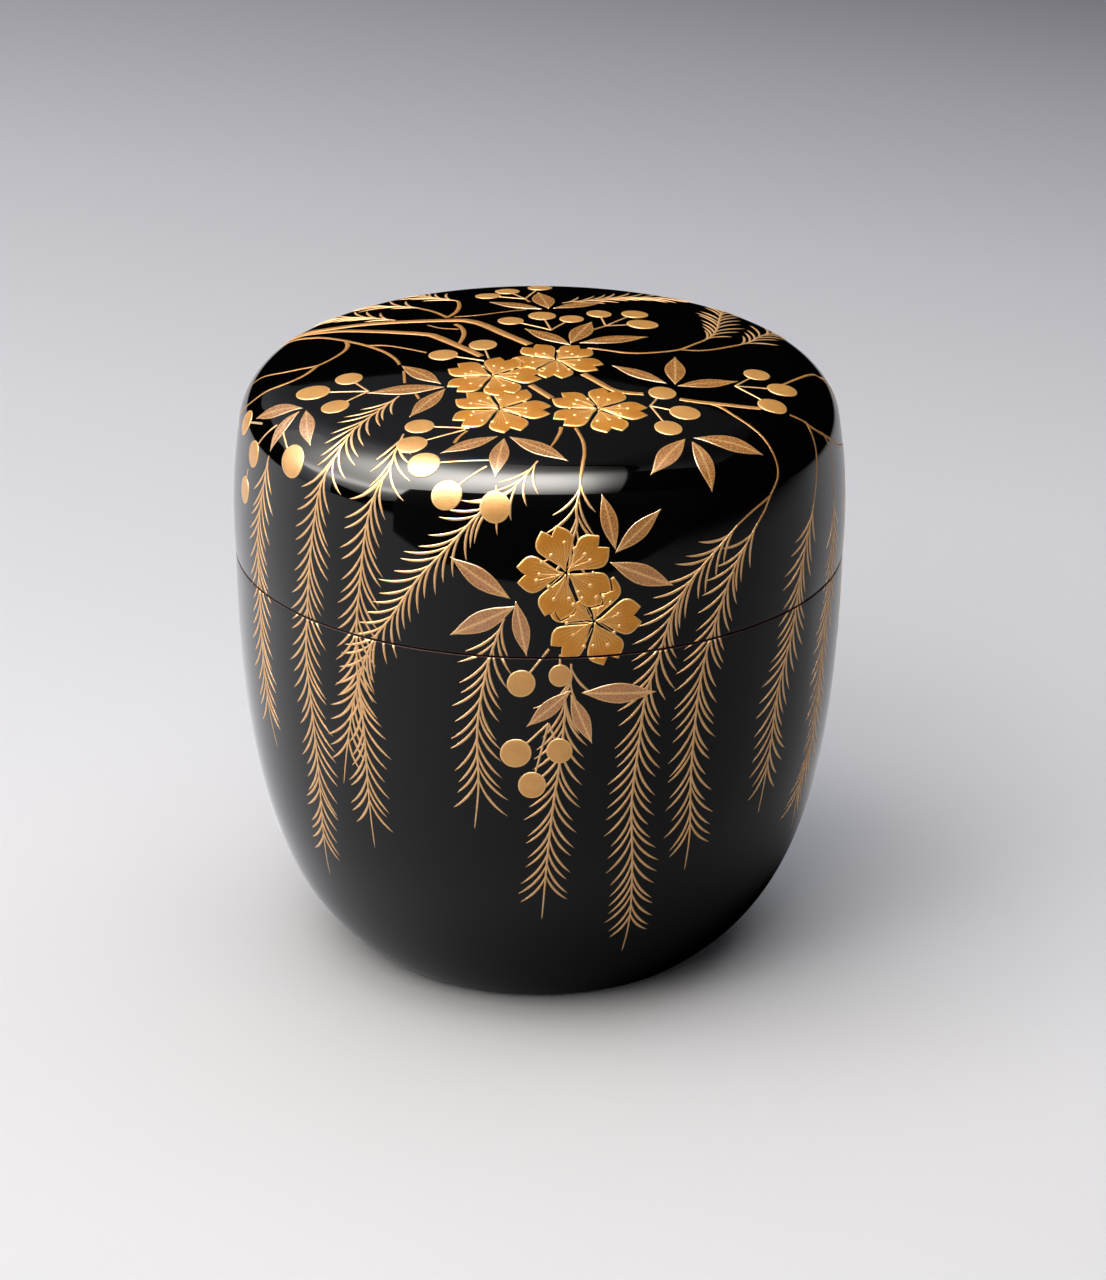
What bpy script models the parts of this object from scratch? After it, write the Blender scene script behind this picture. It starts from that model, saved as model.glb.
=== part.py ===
"""A turned wooden tea caddy in black lacquer: a deep cup with a raised lip, and a deep cap that fits over it.

Everything is in metres, with +Z up. The origin is the middle of the underside, on the axis of turning.
"""

import math

import bmesh
import bpy
from mathutils import Vector

COLLECTION_NAME = "lacquer_tea_caddy"

# Whole caddy
DIAMETER = 0.066
HEIGHT = 0.068

# Lid, measured down from its top: three arcs that run into each other
LID_DEPTH = 0.0225
WIDEST_BELOW_TOP = 0.018
TOP_DOME_RADIUS = 0.150
SHOULDER_RADIUS = 0.0064
SIDE_BOW_RADIUS = 0.068
LID_WALL = 0.0016
LID_CEILING = 0.0020

# Cup: one long curve from the seam to the foot
SEAM_LEAN = math.radians(0.6)
CURVE_BELOW_SEAM = 0.0295
CURVE_ABOVE_FOOT = 0.0108
FOOT_RISE = math.radians(34.5)
FOOT_RADIUS = 0.0186
FLOOR_THICKNESS = 0.0028

# Underside: a flat ring to stand on, round a shallow recess
FOOT_RING_WIDTH = 0.0025
UNDERSIDE_RECESS = 0.0005
RECESS_STEP_WIDTH = 0.0006

# Raised lip that the lid slides over, and the clearances between the two pieces
LIP_HEIGHT = 0.0060
LIP_WALL = 0.0011
LIP_EDGE_ROUNDING = 0.0003
FIT_GAP = 0.0003
SEAM_GAP = 0.0003

# Facets
SEGMENTS_ROUND = 64
DOME_STEPS = 7
SHOULDER_STEPS = 5
SIDE_STEPS = 4
CUP_STEPS = 12
SHARP_FROM = math.radians(28)
MERGE_DISTANCE = 0.000001
FLOOR_SEARCH_STEPS = 40

# Finish
BLACK_LACQUER = (0.0052, 0.0047, 0.0045, 1.0)
LACQUER_ROUGHNESS = 0.12
LACQUER_IOR = 1.54


def clear_scene():
    for item in list(bpy.data.objects):
        bpy.data.objects.remove(item, do_unlink=True)


def crossing(first, first_radius, second, second_radius):
    """Where two circles cross, on the right-hand side of the way from the first centre to the second."""
    between = second - first
    distance = between.length
    along = (distance**2 + first_radius**2 - second_radius**2) / (2 * distance)
    aside = math.sqrt(first_radius**2 - along**2)
    direction = between / distance
    return first + along * direction + aside * Vector((direction.y, -direction.x))


def arc(centre, radius, start, end, steps):
    """Points on an arc in the plane of the profile, both ends among them."""
    turn = (end - start) / steps
    angles = [start + turn * i for i in range(steps + 1)]
    return [centre + radius * Vector((math.cos(angle), math.sin(angle))) for angle in angles]


class LidCurve:
    """The lid's arcs, moved inwards by a wall at the side and a ceiling at the top."""

    def __init__(self, wall, ceiling):
        self.dome_centre = Vector((0, HEIGHT - TOP_DOME_RADIUS))
        self.dome_radius = TOP_DOME_RADIUS - ceiling
        self.side_centre = Vector((DIAMETER / 2 - SIDE_BOW_RADIUS, HEIGHT - WIDEST_BELOW_TOP))
        self.side_radius = SIDE_BOW_RADIUS - wall
        self.shoulder_radius = SHOULDER_RADIUS - max(wall, ceiling)
        self.shoulder_centre = crossing(
            self.dome_centre,
            self.dome_radius - self.shoulder_radius,
            self.side_centre,
            self.side_radius - self.shoulder_radius,
        )

    def radius_at(self, height):
        rise = height - self.side_centre.y
        return self.side_centre.x + math.sqrt(self.side_radius**2 - rise**2)

    def points(self, rim_height):
        """From the middle of the top down to the rim."""
        to_dome = self.shoulder_centre - self.dome_centre
        to_side = self.shoulder_centre - self.side_centre
        dome_end = math.atan2(to_dome.y, to_dome.x)
        side_start = math.atan2(to_side.y, to_side.x)
        side_end = math.asin((rim_height - self.side_centre.y) / self.side_radius)
        dome = arc(self.dome_centre, self.dome_radius, math.pi / 2, dome_end, DOME_STEPS)
        shoulder = arc(
            self.shoulder_centre, self.shoulder_radius, dome_end, side_start, SHOULDER_STEPS
        )
        side = arc(self.side_centre, self.side_radius, side_start, side_end, SIDE_STEPS)
        return dome + shoulder[1:] + side[1:]


class CupCurve:
    """The cup's outer curve, from the seam at 0 to the foot at 1."""

    def __init__(self, seam):
        down = Vector((-math.sin(SEAM_LEAN), -math.cos(SEAM_LEAN)))
        outwards = Vector((math.cos(FOOT_RISE), math.sin(FOOT_RISE)))
        foot = Vector((FOOT_RADIUS, 0))
        self.handles = (
            seam,
            seam + CURVE_BELOW_SEAM * down,
            foot + CURVE_ABOVE_FOOT * outwards,
            foot,
        )

    def at(self, t):
        a, b, c, d = self.handles
        s = 1 - t
        return s**3 * a + 3 * s * s * t * b + 3 * s * t * t * c + t**3 * d

    def inside(self, t, wall):
        """The point under the surface by the wall's thickness."""
        a, b, c, d = self.handles
        s = 1 - t
        way = (s * s * (b - a) + 2 * s * t * (c - b) + t * t * (d - c)).normalized()
        return self.at(t) + wall * Vector((way.y, -way.x))

    def reach_at_height(self, height, wall):
        """How far along the inner curve comes down to this height."""
        low, high = 0.0, 1.0
        for _ in range(FLOOR_SEARCH_STEPS):
            middle = (low + high) / 2
            if self.inside(middle, wall).y > height:
                low = middle
            else:
                high = middle
        return low


def lid_profile(outer, inner):
    """Down the outside from the middle of the top, across the rim and back up the inside."""
    rim = HEIGHT - LID_DEPTH + SEAM_GAP
    return outer.points(rim) + inner.points(rim)[::-1]


def body_profile(outer, inner):
    """Down the lip, along the seam's ledge, down the cup to the foot, and back up the inside."""
    seam_height = HEIGHT - LID_DEPTH
    lip_top = seam_height + LIP_HEIGHT
    narrowest_bore = min(inner.radius_at(seam_height), inner.radius_at(lip_top))
    lip_outer = narrowest_bore - FIT_GAP
    lip_inner = lip_outer - LIP_WALL
    seam = Vector((outer.radius_at(seam_height), seam_height))
    wall = seam.x - lip_inner

    lip = [
        Vector((lip_inner + LIP_EDGE_ROUNDING, lip_top)),
        Vector((lip_outer - LIP_EDGE_ROUNDING, lip_top)),
        Vector((lip_outer, lip_top - LIP_EDGE_ROUNDING)),
        Vector((lip_outer, seam_height)),
    ]
    cup = CupCurve(seam)
    outside = [cup.at(i / CUP_STEPS) for i in range(CUP_STEPS + 1)]
    ring_inner = FOOT_RADIUS - FOOT_RING_WIDTH
    underside = [
        Vector((ring_inner, 0)),
        Vector((ring_inner - RECESS_STEP_WIDTH, UNDERSIDE_RECESS)),
        Vector((0, UNDERSIDE_RECESS)),
    ]
    floor_height = UNDERSIDE_RECESS + FLOOR_THICKNESS
    floor_at = cup.reach_at_height(floor_height, wall)
    inside = [cup.inside(floor_at * (1 - i / CUP_STEPS), wall) for i in range(CUP_STEPS)]
    mouth = [
        Vector((lip_inner, seam_height)),
        Vector((lip_inner, lip_top - LIP_EDGE_ROUNDING)),
    ]
    return lip + outside + underside + [Vector((0, floor_height))] + inside + mouth


def lacquer(name):
    material = bpy.data.materials.new(name)
    material.use_nodes = True
    shader = material.node_tree.nodes["Principled BSDF"]
    shader.inputs["Base Color"].default_value = BLACK_LACQUER
    shader.inputs["Metallic"].default_value = 0
    shader.inputs["Roughness"].default_value = LACQUER_ROUGHNESS
    shader.inputs["IOR"].default_value = LACQUER_IOR
    material.diffuse_color = BLACK_LACQUER
    return material


def outline_mesh(name, profile):
    """The profile as a chain of edges, closed where it doesn't start and end on the axis."""
    mesh = bpy.data.meshes.new(name)
    edges = [(i, i + 1) for i in range(len(profile) - 1)]
    runs_from_axis_to_axis = max(profile[0].x, profile[-1].x) < MERGE_DISTANCE
    if not runs_from_axis_to_axis:
        edges.append((len(profile) - 1, 0))
    mesh.from_pydata([(point.x, 0, point.y) for point in profile], edges, [])
    return mesh


def turned(name, profile, collection):
    """One solid, turned round +Z from its outline and shaded smooth between its real edges."""
    item = bpy.data.objects.new(name, outline_mesh(f"{name} outline", profile))
    collection.objects.link(item)
    screw = item.modifiers.new("Turning", "SCREW")
    screw.axis = "Z"
    screw.steps = SEGMENTS_ROUND
    screw.render_steps = SEGMENTS_ROUND
    screw.use_merge_vertices = True
    screw.merge_threshold = MERGE_DISTANCE

    outline = item.data
    graph = bpy.context.evaluated_depsgraph_get()
    solid = bpy.data.meshes.new_from_object(item.evaluated_get(graph))
    solid.name = name
    item.modifiers.clear()
    item.data = solid
    bpy.data.meshes.remove(outline)

    shape = bmesh.new()
    shape.from_mesh(solid)
    bmesh.ops.remove_doubles(shape, verts=shape.verts, dist=MERGE_DISTANCE)
    shape.to_mesh(solid)
    shape.free()
    solid.shade_smooth()
    solid.set_sharp_from_angle(angle=SHARP_FROM)
    solid.materials.append(lacquer(f"{name} black lacquer"))
    return item


def main():
    clear_scene()
    collection = bpy.data.collections.new(COLLECTION_NAME)
    bpy.context.scene.collection.children.link(collection)
    outer = LidCurve(0, 0)
    inner = LidCurve(LID_WALL, LID_CEILING)
    turned("body", body_profile(outer, inner), collection)
    turned("lid", lid_profile(outer, inner), collection)


main()
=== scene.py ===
"""The looks of a turned tea caddy: black lacquer, with willow and cherry blossom in gold powder.

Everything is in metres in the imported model's frame: +Z up, the front towards -Y, and the origin in the
middle of the underside. Places on the caddy are given in millimetres and degrees: top(x, y) as seen
from above, and wall(angle, height) round the side, with the angle counted from the front to the right.
"""

import math
import random
from functools import partial

import bmesh
import bpy
import numpy as np
from mathutils import Matrix, Vector


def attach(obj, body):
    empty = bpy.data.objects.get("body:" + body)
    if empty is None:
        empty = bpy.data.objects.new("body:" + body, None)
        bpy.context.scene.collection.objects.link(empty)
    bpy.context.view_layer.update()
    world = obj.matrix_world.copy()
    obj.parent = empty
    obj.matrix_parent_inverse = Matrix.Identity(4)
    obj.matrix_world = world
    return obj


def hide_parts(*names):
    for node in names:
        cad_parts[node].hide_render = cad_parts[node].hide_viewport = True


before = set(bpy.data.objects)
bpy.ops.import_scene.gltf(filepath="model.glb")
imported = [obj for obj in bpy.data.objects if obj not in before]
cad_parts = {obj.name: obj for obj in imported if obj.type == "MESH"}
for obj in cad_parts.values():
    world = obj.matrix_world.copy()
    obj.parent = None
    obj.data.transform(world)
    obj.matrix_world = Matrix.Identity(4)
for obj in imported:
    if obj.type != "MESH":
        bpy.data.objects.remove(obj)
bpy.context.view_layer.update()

MM = 0.001

# The caddy, as in the part's source
DIAMETER = 0.066
HEIGHT = 0.068
LID_DEPTH = 0.0225
WIDEST_BELOW_TOP = 0.018
TOP_DOME_RADIUS = 0.150
SHOULDER_RADIUS = 0.0064
SIDE_BOW_RADIUS = 0.068
LID_WALL = 0.0016
LID_CEILING = 0.0020
SEAM_LEAN = math.radians(0.6)
CURVE_BELOW_SEAM = 0.0295
CURVE_ABOVE_FOOT = 0.0108
FOOT_RISE = math.radians(34.5)
FOOT_RADIUS = 0.0186
FLOOR_THICKNESS = 0.0028
FOOT_RING_WIDTH = 0.0025
UNDERSIDE_RECESS = 0.0005
RECESS_STEP_WIDTH = 0.0006
LIP_HEIGHT = 0.0060
LIP_WALL = 0.0011
FIT_GAP = 0.0003
# The seam as it shows, a little narrower than the gap in the part's source
SEAM_SHOWN = 0.00020

# Polished edges of the lacquer
SEAM_EDGE = 0.00006
LIP_EDGE = 0.0003
FOOT_EDGE = 0.0006
INSIDE_EDGE = 0.0012
EDGE_STEPS = 5

# How finely the profile and the turning are drawn
DOME_STEPS = 32
SHOULDER_STEPS = 28
SIDE_STEPS = 22
CUP_STEPS = 60
FLOOR_STEPS = 16
RECESS_STEPS = 12
LIP_STEPS = 4
RING_STEPS = 3
TURNS = 360
MERGE = 0.000002

# Gold cut clear of the seam on both sides
SEAM_HEIGHT = HEIGHT - LID_DEPTH
GOLD_CLEAR_OF_SEAM = 0.00004
SEAM_LINE = 0.00020
SEAM_BROWN = "#2a0b08"


def clamp(value, low, high):
    return max(low, min(high, value))


# The profile of the turning


def crossing(first, first_radius, second, second_radius):
    """Where two circles cross, to the right of the way from the first centre to the second."""
    between = second - first
    distance = np.hypot(*between)
    along = (distance**2 + first_radius**2 - second_radius**2) / (2 * distance)
    aside = math.sqrt(first_radius**2 - along**2)
    direction = between / distance
    return first + along * direction + aside * np.array([direction[1], -direction[0]])


def arc(centre, radius, start, end, steps):
    angles = np.linspace(start, end, steps + 1)
    return centre + radius * np.column_stack([np.cos(angles), np.sin(angles)])


def bearing(origin, point):
    across, up = point - origin
    return math.atan2(up, across)


class LidCurve:
    """The lid's three arcs, moved inwards by a wall at the side and a ceiling at the top."""

    def __init__(self, wall, ceiling):
        self.dome_centre = np.array([0, HEIGHT - TOP_DOME_RADIUS])
        self.dome_radius = TOP_DOME_RADIUS - ceiling
        self.side_centre = np.array([DIAMETER / 2 - SIDE_BOW_RADIUS, HEIGHT - WIDEST_BELOW_TOP])
        self.side_radius = SIDE_BOW_RADIUS - wall
        self.shoulder_radius = SHOULDER_RADIUS - max(wall, ceiling)
        self.shoulder_centre = crossing(
            self.dome_centre,
            self.dome_radius - self.shoulder_radius,
            self.side_centre,
            self.side_radius - self.shoulder_radius,
        )

    def radius_at(self, height):
        rise = height - self.side_centre[1]
        return self.side_centre[0] + math.sqrt(self.side_radius**2 - rise**2)

    def points(self, rim_height):
        """From the middle of the top down to the rim."""
        dome_end = bearing(self.dome_centre, self.shoulder_centre)
        side_start = bearing(self.side_centre, self.shoulder_centre)
        side_end = math.asin((rim_height - self.side_centre[1]) / self.side_radius)
        dome = arc(self.dome_centre, self.dome_radius, math.pi / 2, dome_end, DOME_STEPS)
        shoulder = arc(self.shoulder_centre, self.shoulder_radius, dome_end, side_start, SHOULDER_STEPS)
        side = arc(self.side_centre, self.side_radius, side_start, side_end, SIDE_STEPS)
        return np.vstack([dome, shoulder[1:], side[1:]])


class CupCurve:
    """The cup's outer curve from the seam to the foot, and the same curve moved in by a wall."""

    def __init__(self, seam):
        down = np.array([-math.sin(SEAM_LEAN), -math.cos(SEAM_LEAN)])
        outwards = np.array([math.cos(FOOT_RISE), math.sin(FOOT_RISE)])
        foot = np.array([FOOT_RADIUS, 0])
        self.handles = (seam, seam + CURVE_BELOW_SEAM * down, foot + CURVE_ABOVE_FOOT * outwards, foot)

    def points(self, wall):
        a, b, c, d = self.handles
        t = np.linspace(0, 1, CUP_STEPS + 1)[:, None]
        s = 1 - t
        outer = s**3 * a + 3 * s * s * t * b + 3 * s * t * t * c + t**3 * d
        way = s * s * (b - a) + 2 * s * t * (c - b) + t * t * (d - c)
        way /= np.hypot(way[:, 0], way[:, 1])[:, None]
        return outer + wall * np.column_stack([way[:, 1], -way[:, 0]])


def lengths_along(run):
    steps = np.hypot(*np.diff(run, axis=0).T)
    return np.concatenate([[0], np.cumsum(steps)])


def shortened(run, at_start, at_end):
    """The run without a length at each end."""
    along = lengths_along(run)
    start, end = at_start, along[-1] - at_end
    kept = run[(along > start) & (along < end)]
    ends = [[np.interp(place, along, run[:, axis]) for axis in (0, 1)] for place in (start, end)]
    return np.vstack([ends[0], kept, ends[1]])


def joined(runs, edges):
    """The runs one after another, with the corner after each run eased over its edge length."""
    before = [0] + edges
    after = edges + [0]
    trimmed = [shortened(np.array(run), a, b) for run, a, b in zip(runs, before, after)]
    parts = [trimmed[0]]
    for run, following, edge in zip(trimmed, trimmed[1:], edges):
        corner = np.array(runs[len(parts) - 1][-1])
        t = np.linspace(0, 1, EDGE_STEPS + 1)[1:-1, None]
        if edge > 0:
            ease = (1 - t) ** 2 * run[-1] + 2 * t * (1 - t) * corner + t**2 * following[0]
            parts.append(np.vstack([ease, following]))
        else:
            parts.append(following[1:])
    return np.vstack(parts)


def straight(start, end, steps):
    t = np.linspace(0, 1, steps + 1)[:, None]
    return (1 - t) * np.array(start) + t * np.array(end)


outer_lid = LidCurve(0, 0)
inner_lid = LidCurve(LID_WALL, LID_CEILING)
SEAM_POINT = np.array([outer_lid.radius_at(SEAM_HEIGHT), SEAM_HEIGHT])
outer_cup = CupCurve(SEAM_POINT)


def lid_profile():
    """From the middle of the top, round the rim, to the middle of the ceiling."""
    rim_height = SEAM_HEIGHT + SEAM_SHOWN
    outside = outer_lid.points(rim_height)
    inside = inner_lid.points(rim_height)[::-1]
    rim = straight(outside[-1], inside[0], LIP_STEPS)
    return joined([outside, rim, inside], [SEAM_EDGE, SEAM_EDGE])


def body_profile():
    """From the middle of the floor, over the lip and down the outside to the underside's middle."""
    lip_top = SEAM_HEIGHT + LIP_HEIGHT
    narrowest_bore = min(inner_lid.radius_at(SEAM_HEIGHT), inner_lid.radius_at(lip_top))
    lip_outer = narrowest_bore - FIT_GAP
    lip_inner = lip_outer - LIP_WALL
    thickness = SEAM_POINT[0] - lip_inner
    floor_height = UNDERSIDE_RECESS + FLOOR_THICKNESS
    inner_cup = outer_cup.points(thickness)
    above_floor = inner_cup[inner_cup[:, 1] > floor_height]
    floor_radius = np.interp(floor_height, inner_cup[::-1, 1], inner_cup[::-1, 0])
    cup_inside = np.vstack([[floor_radius, floor_height], above_floor[::-1]])
    ring_inner = FOOT_RADIUS - FOOT_RING_WIDTH
    recess = ring_inner - RECESS_STEP_WIDTH
    runs = [
        straight((0, floor_height), (floor_radius, floor_height), FLOOR_STEPS),
        cup_inside,
        straight((lip_inner, SEAM_HEIGHT), (lip_inner, lip_top), LIP_STEPS),
        straight((lip_inner, lip_top), (lip_outer, lip_top), LIP_STEPS // 2),
        straight((lip_outer, lip_top), (lip_outer, SEAM_HEIGHT), LIP_STEPS),
        straight((lip_outer, SEAM_HEIGHT), SEAM_POINT, LIP_STEPS),
        outer_cup.points(0),
        straight((FOOT_RADIUS, 0), (ring_inner, 0), RING_STEPS),
        straight((ring_inner, 0), (recess, UNDERSIDE_RECESS), RING_STEPS),
        straight((recess, UNDERSIDE_RECESS), (0, UNDERSIDE_RECESS), RECESS_STEPS),
    ]
    recess_edge = RECESS_STEP_WIDTH / 3
    edges = [
        INSIDE_EDGE, 0, LIP_EDGE, LIP_EDGE, 0, SEAM_EDGE, FOOT_EDGE, recess_edge, recess_edge,
    ]
    return joined(runs, edges)


def skin_profile():
    """The outside as one unbroken curve, which every line of gold lies on."""
    lid = outer_lid.points(SEAM_HEIGHT)
    cup = outer_cup.points(0)
    return np.vstack([lid, cup[1:]])


SKIN = skin_profile()
WIDEST_ROW = int(np.argmax(SKIN[:, 0]))
UPPER_SKIN = SKIN[: WIDEST_ROW + 1]


def top(x, y):
    """A place on the lid's top or shoulder, from its place in the plan in millimetres."""
    radius = math.hypot(x, y) * MM
    height = np.interp(radius, UPPER_SKIN[:, 0], UPPER_SKIN[:, 1])
    return Vector((x * MM, y * MM, height))


def wall(angle, height):
    """A place on the side, from its angle to the right of the front and its height in millimetres."""
    radius = np.interp(height * MM, SKIN[::-1, 1], SKIN[::-1, 0])
    turn = math.radians(angle)
    return Vector((radius * math.sin(turn), -radius * math.cos(turn), height * MM))


def nearest_row(place):
    """Which point of the skin's profile a place is nearest to."""
    radius = math.hypot(place.x, place.y)
    return int(np.argmin(np.hypot(SKIN[:, 0] - radius, SKIN[:, 1] - place.z)))


def on_skin(place):
    """The nearest place on the skin to one a little inside it."""
    turn = math.atan2(place.y, place.x)
    r, z = SKIN[nearest_row(place)]
    return Vector((r * math.cos(turn), r * math.sin(turn), z))


def outward(place):
    """The direction straight out of the skin at a place on it."""
    row = clamp(nearest_row(place), 1, len(SKIN) - 2)
    run, drop = SKIN[row + 1] - SKIN[row - 1]
    turn = math.atan2(place.y, place.x)
    length = math.hypot(run, drop)
    flat, up = -drop / length, run / length
    return Vector((flat * math.cos(turn), flat * math.sin(turn), up))


# Small tools for meshes, node trees and materials


def linked(name, data):
    made = bpy.data.objects.new(name, data)
    bpy.context.scene.collection.objects.link(made)
    return made


def mesh_object(name, vertices, edges=(), faces=()):
    mesh = bpy.data.meshes.new(name)
    mesh.from_pydata([tuple(v) for v in vertices], list(edges), list(faces))
    mesh.update()
    return linked(name, mesh)


def add_uv_map(mesh, name, places):
    """A UV map from one place for each vertex."""
    layer = mesh.uv_layers.new(name=name)
    for loop, corner in zip(mesh.loops, layer.data):
        corner.uv = places[loop.vertex_index]


def discard(item):
    mesh = item.data
    bpy.data.objects.remove(item, do_unlink=True)
    if mesh.users == 0:
        bpy.data.meshes.remove(mesh)


def in_use(sockets, key):
    """A socket by its name, or by its place among those that the node's settings leave in use."""
    found = [socket for socket in sockets if socket.enabled]
    if isinstance(key, int):
        return found[key]
    return next(socket for socket in found if socket.name == key)


def add_node(tree, kind, inputs=None, **settings):
    """One node with its settings. An input takes a value, a node's first output, or a named output."""
    node = tree.nodes.new(kind)
    for name, value in settings.items():
        setattr(node, name, value)
    for key, value in (inputs or {}).items():
        socket = in_use(node.inputs, key)
        if isinstance(value, bpy.types.Node):
            value = in_use(value.outputs, 0)
        if isinstance(value, bpy.types.NodeSocket):
            tree.links.new(value, socket)
        else:
            socket.default_value = value
    return node


def out(node, key):
    return in_use(node.outputs, key)


def geometry_tree(name, inputs):
    """An empty tree from a geometry to a geometry, with further named inputs."""
    tree = bpy.data.node_groups.new(name, "GeometryNodeTree")
    tree.interface.new_socket("Geometry", in_out="INPUT", socket_type="NodeSocketGeometry")
    for label, kind in inputs.items():
        tree.interface.new_socket(label, in_out="INPUT", socket_type=f"NodeSocket{kind}")
    tree.interface.new_socket("Geometry", in_out="OUTPUT", socket_type="NodeSocketGeometry")
    return tree, add_node(tree, "NodeGroupInput")


def end_tree(tree, given, geometry):
    """Ends a tree with real geometry in the given finish."""
    real = add_node(tree, "GeometryNodeRealizeInstances", {"Geometry": geometry})
    finished = add_node(
        tree, "GeometryNodeSetMaterial", {"Geometry": real, "Material": out(given, "Finish")}
    )
    add_node(tree, "NodeGroupOutput", {"Geometry": finished})
    return tree


def evaluated_mesh(item):
    """The mesh that an object's modifiers make."""
    bpy.context.view_layer.update()
    graph = bpy.context.evaluated_depsgraph_get()
    return bpy.data.meshes.new_from_object(item.evaluated_get(graph))


def made_by(tree, name, source, **inputs):
    """The plain mesh that a tree makes from a source object, which is used up."""
    modifier = source.modifiers.new(tree.name, "NODES")
    modifier.node_group = tree
    for item in tree.interface.items_tree:
        key = item.name.replace(" ", "_").lower()
        if item.in_out == "INPUT" and key in inputs:
            modifier[item.identifier] = inputs[key]
    mesh = evaluated_mesh(source)
    mesh.name = name
    source.modifiers.remove(modifier)
    discard(source)
    return linked(name, mesh)


def linear(hex_colour):
    """An sRGB hex colour as linear light, with full alpha."""
    parts = [int(hex_colour[i : i + 2], 16) / 255 for i in (1, 3, 5)]
    light = [p / 12.92 if p <= 0.04045 else ((p + 0.055) / 1.055) ** 2.4 for p in parts]
    return (*light, 1.0)


def new_material(name, hex_colour, metallic, roughness, ior=1.5):
    material = bpy.data.materials.new(name)
    material.use_nodes = True
    material.diffuse_color = linear(hex_colour)
    shader = material.node_tree.nodes["Principled BSDF"]
    shader.inputs["Base Color"].default_value = linear(hex_colour)
    shader.inputs["Metallic"].default_value = metallic
    shader.inputs["Roughness"].default_value = roughness
    shader.inputs["IOR"].default_value = ior
    return material, material.node_tree, shader


def per_metre(size):
    """The scale of a noise whose blotches are about this many metres across."""
    return 1 / size


# Finishes
LACQUER_WAVE = 0.014
LACQUER_WAVE_DEPTH = 0.0004
LACQUER_HAZE = 0.006
SEAM_ROUGHNESS = 0.6
# Powder grains are near 0.05 mm, too fine to show: they are drawn at 0.16 mm.
GRAIN_SHOWN = 0.00016
GRAIN_RELIEF = 0.00003
GRAIN_SHARE = 0.45
POWDER_DRIFT = 0.0016


def polished_urushi(name, hex_colour, roughness):
    """Black urushi lacquer, built up in thin coats and polished by hand: deep black, sharp reflections.

    A very faint slow waviness keeps the reflections from looking machined. At the seam the lacquer is
    thin, and a dull brown-red line shows where the polish doesn't reach.
    """
    material, tree, shader = new_material(name, hex_colour, 0, roughness, ior=1.45)
    add = partial(add_node, tree)
    place = out(add("ShaderNodeTexCoord"), "Object")
    wave = add("ShaderNodeTexNoise", {"Vector": place, "Scale": per_metre(LACQUER_WAVE), "Detail": 1.0})
    haze = add("ShaderNodeTexNoise", {"Vector": place, "Scale": per_metre(LACQUER_HAZE), "Detail": 3.0})
    polish = add(
        "ShaderNodeMapRange",
        {"Value": haze, "From Min": 0.3, "From Max": 0.7, "To Min": roughness * 0.8,
         "To Max": roughness * 1.3},
    )
    bump = add("ShaderNodeBump", {"Strength": 0.02, "Distance": LACQUER_WAVE_DEPTH, "Height": wave})
    parts = add("ShaderNodeSeparateXYZ", {0: place})
    off_seam = add(
        "ShaderNodeMath",
        {0: out(parts, "Z"), 1: SEAM_HEIGHT + SEAM_SHOWN / 2},
        operation="SUBTRACT",
    )
    from_seam = add("ShaderNodeMath", {0: off_seam}, operation="ABSOLUTE")
    at_seam = add(
        "ShaderNodeMapRange",
        {"Value": from_seam, "From Min": SEAM_LINE, "From Max": SEAM_LINE * 0.8},
    )
    colour = add(
        "ShaderNodeMix",
        {"Factor": at_seam, "A": linear(hex_colour), "B": linear(SEAM_BROWN)},
        data_type="RGBA",
    )
    rough = add(
        "ShaderNodeMix", {"Factor": at_seam, "A": polish, "B": SEAM_ROUGHNESS}, data_type="FLOAT"
    )
    tree.links.new(out(colour, "Result"), shader.inputs["Base Color"])
    tree.links.new(out(rough, "Result"), shader.inputs["Roughness"])
    tree.links.new(out(bump, "Normal"), shader.inputs["Normal"])
    return material


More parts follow.
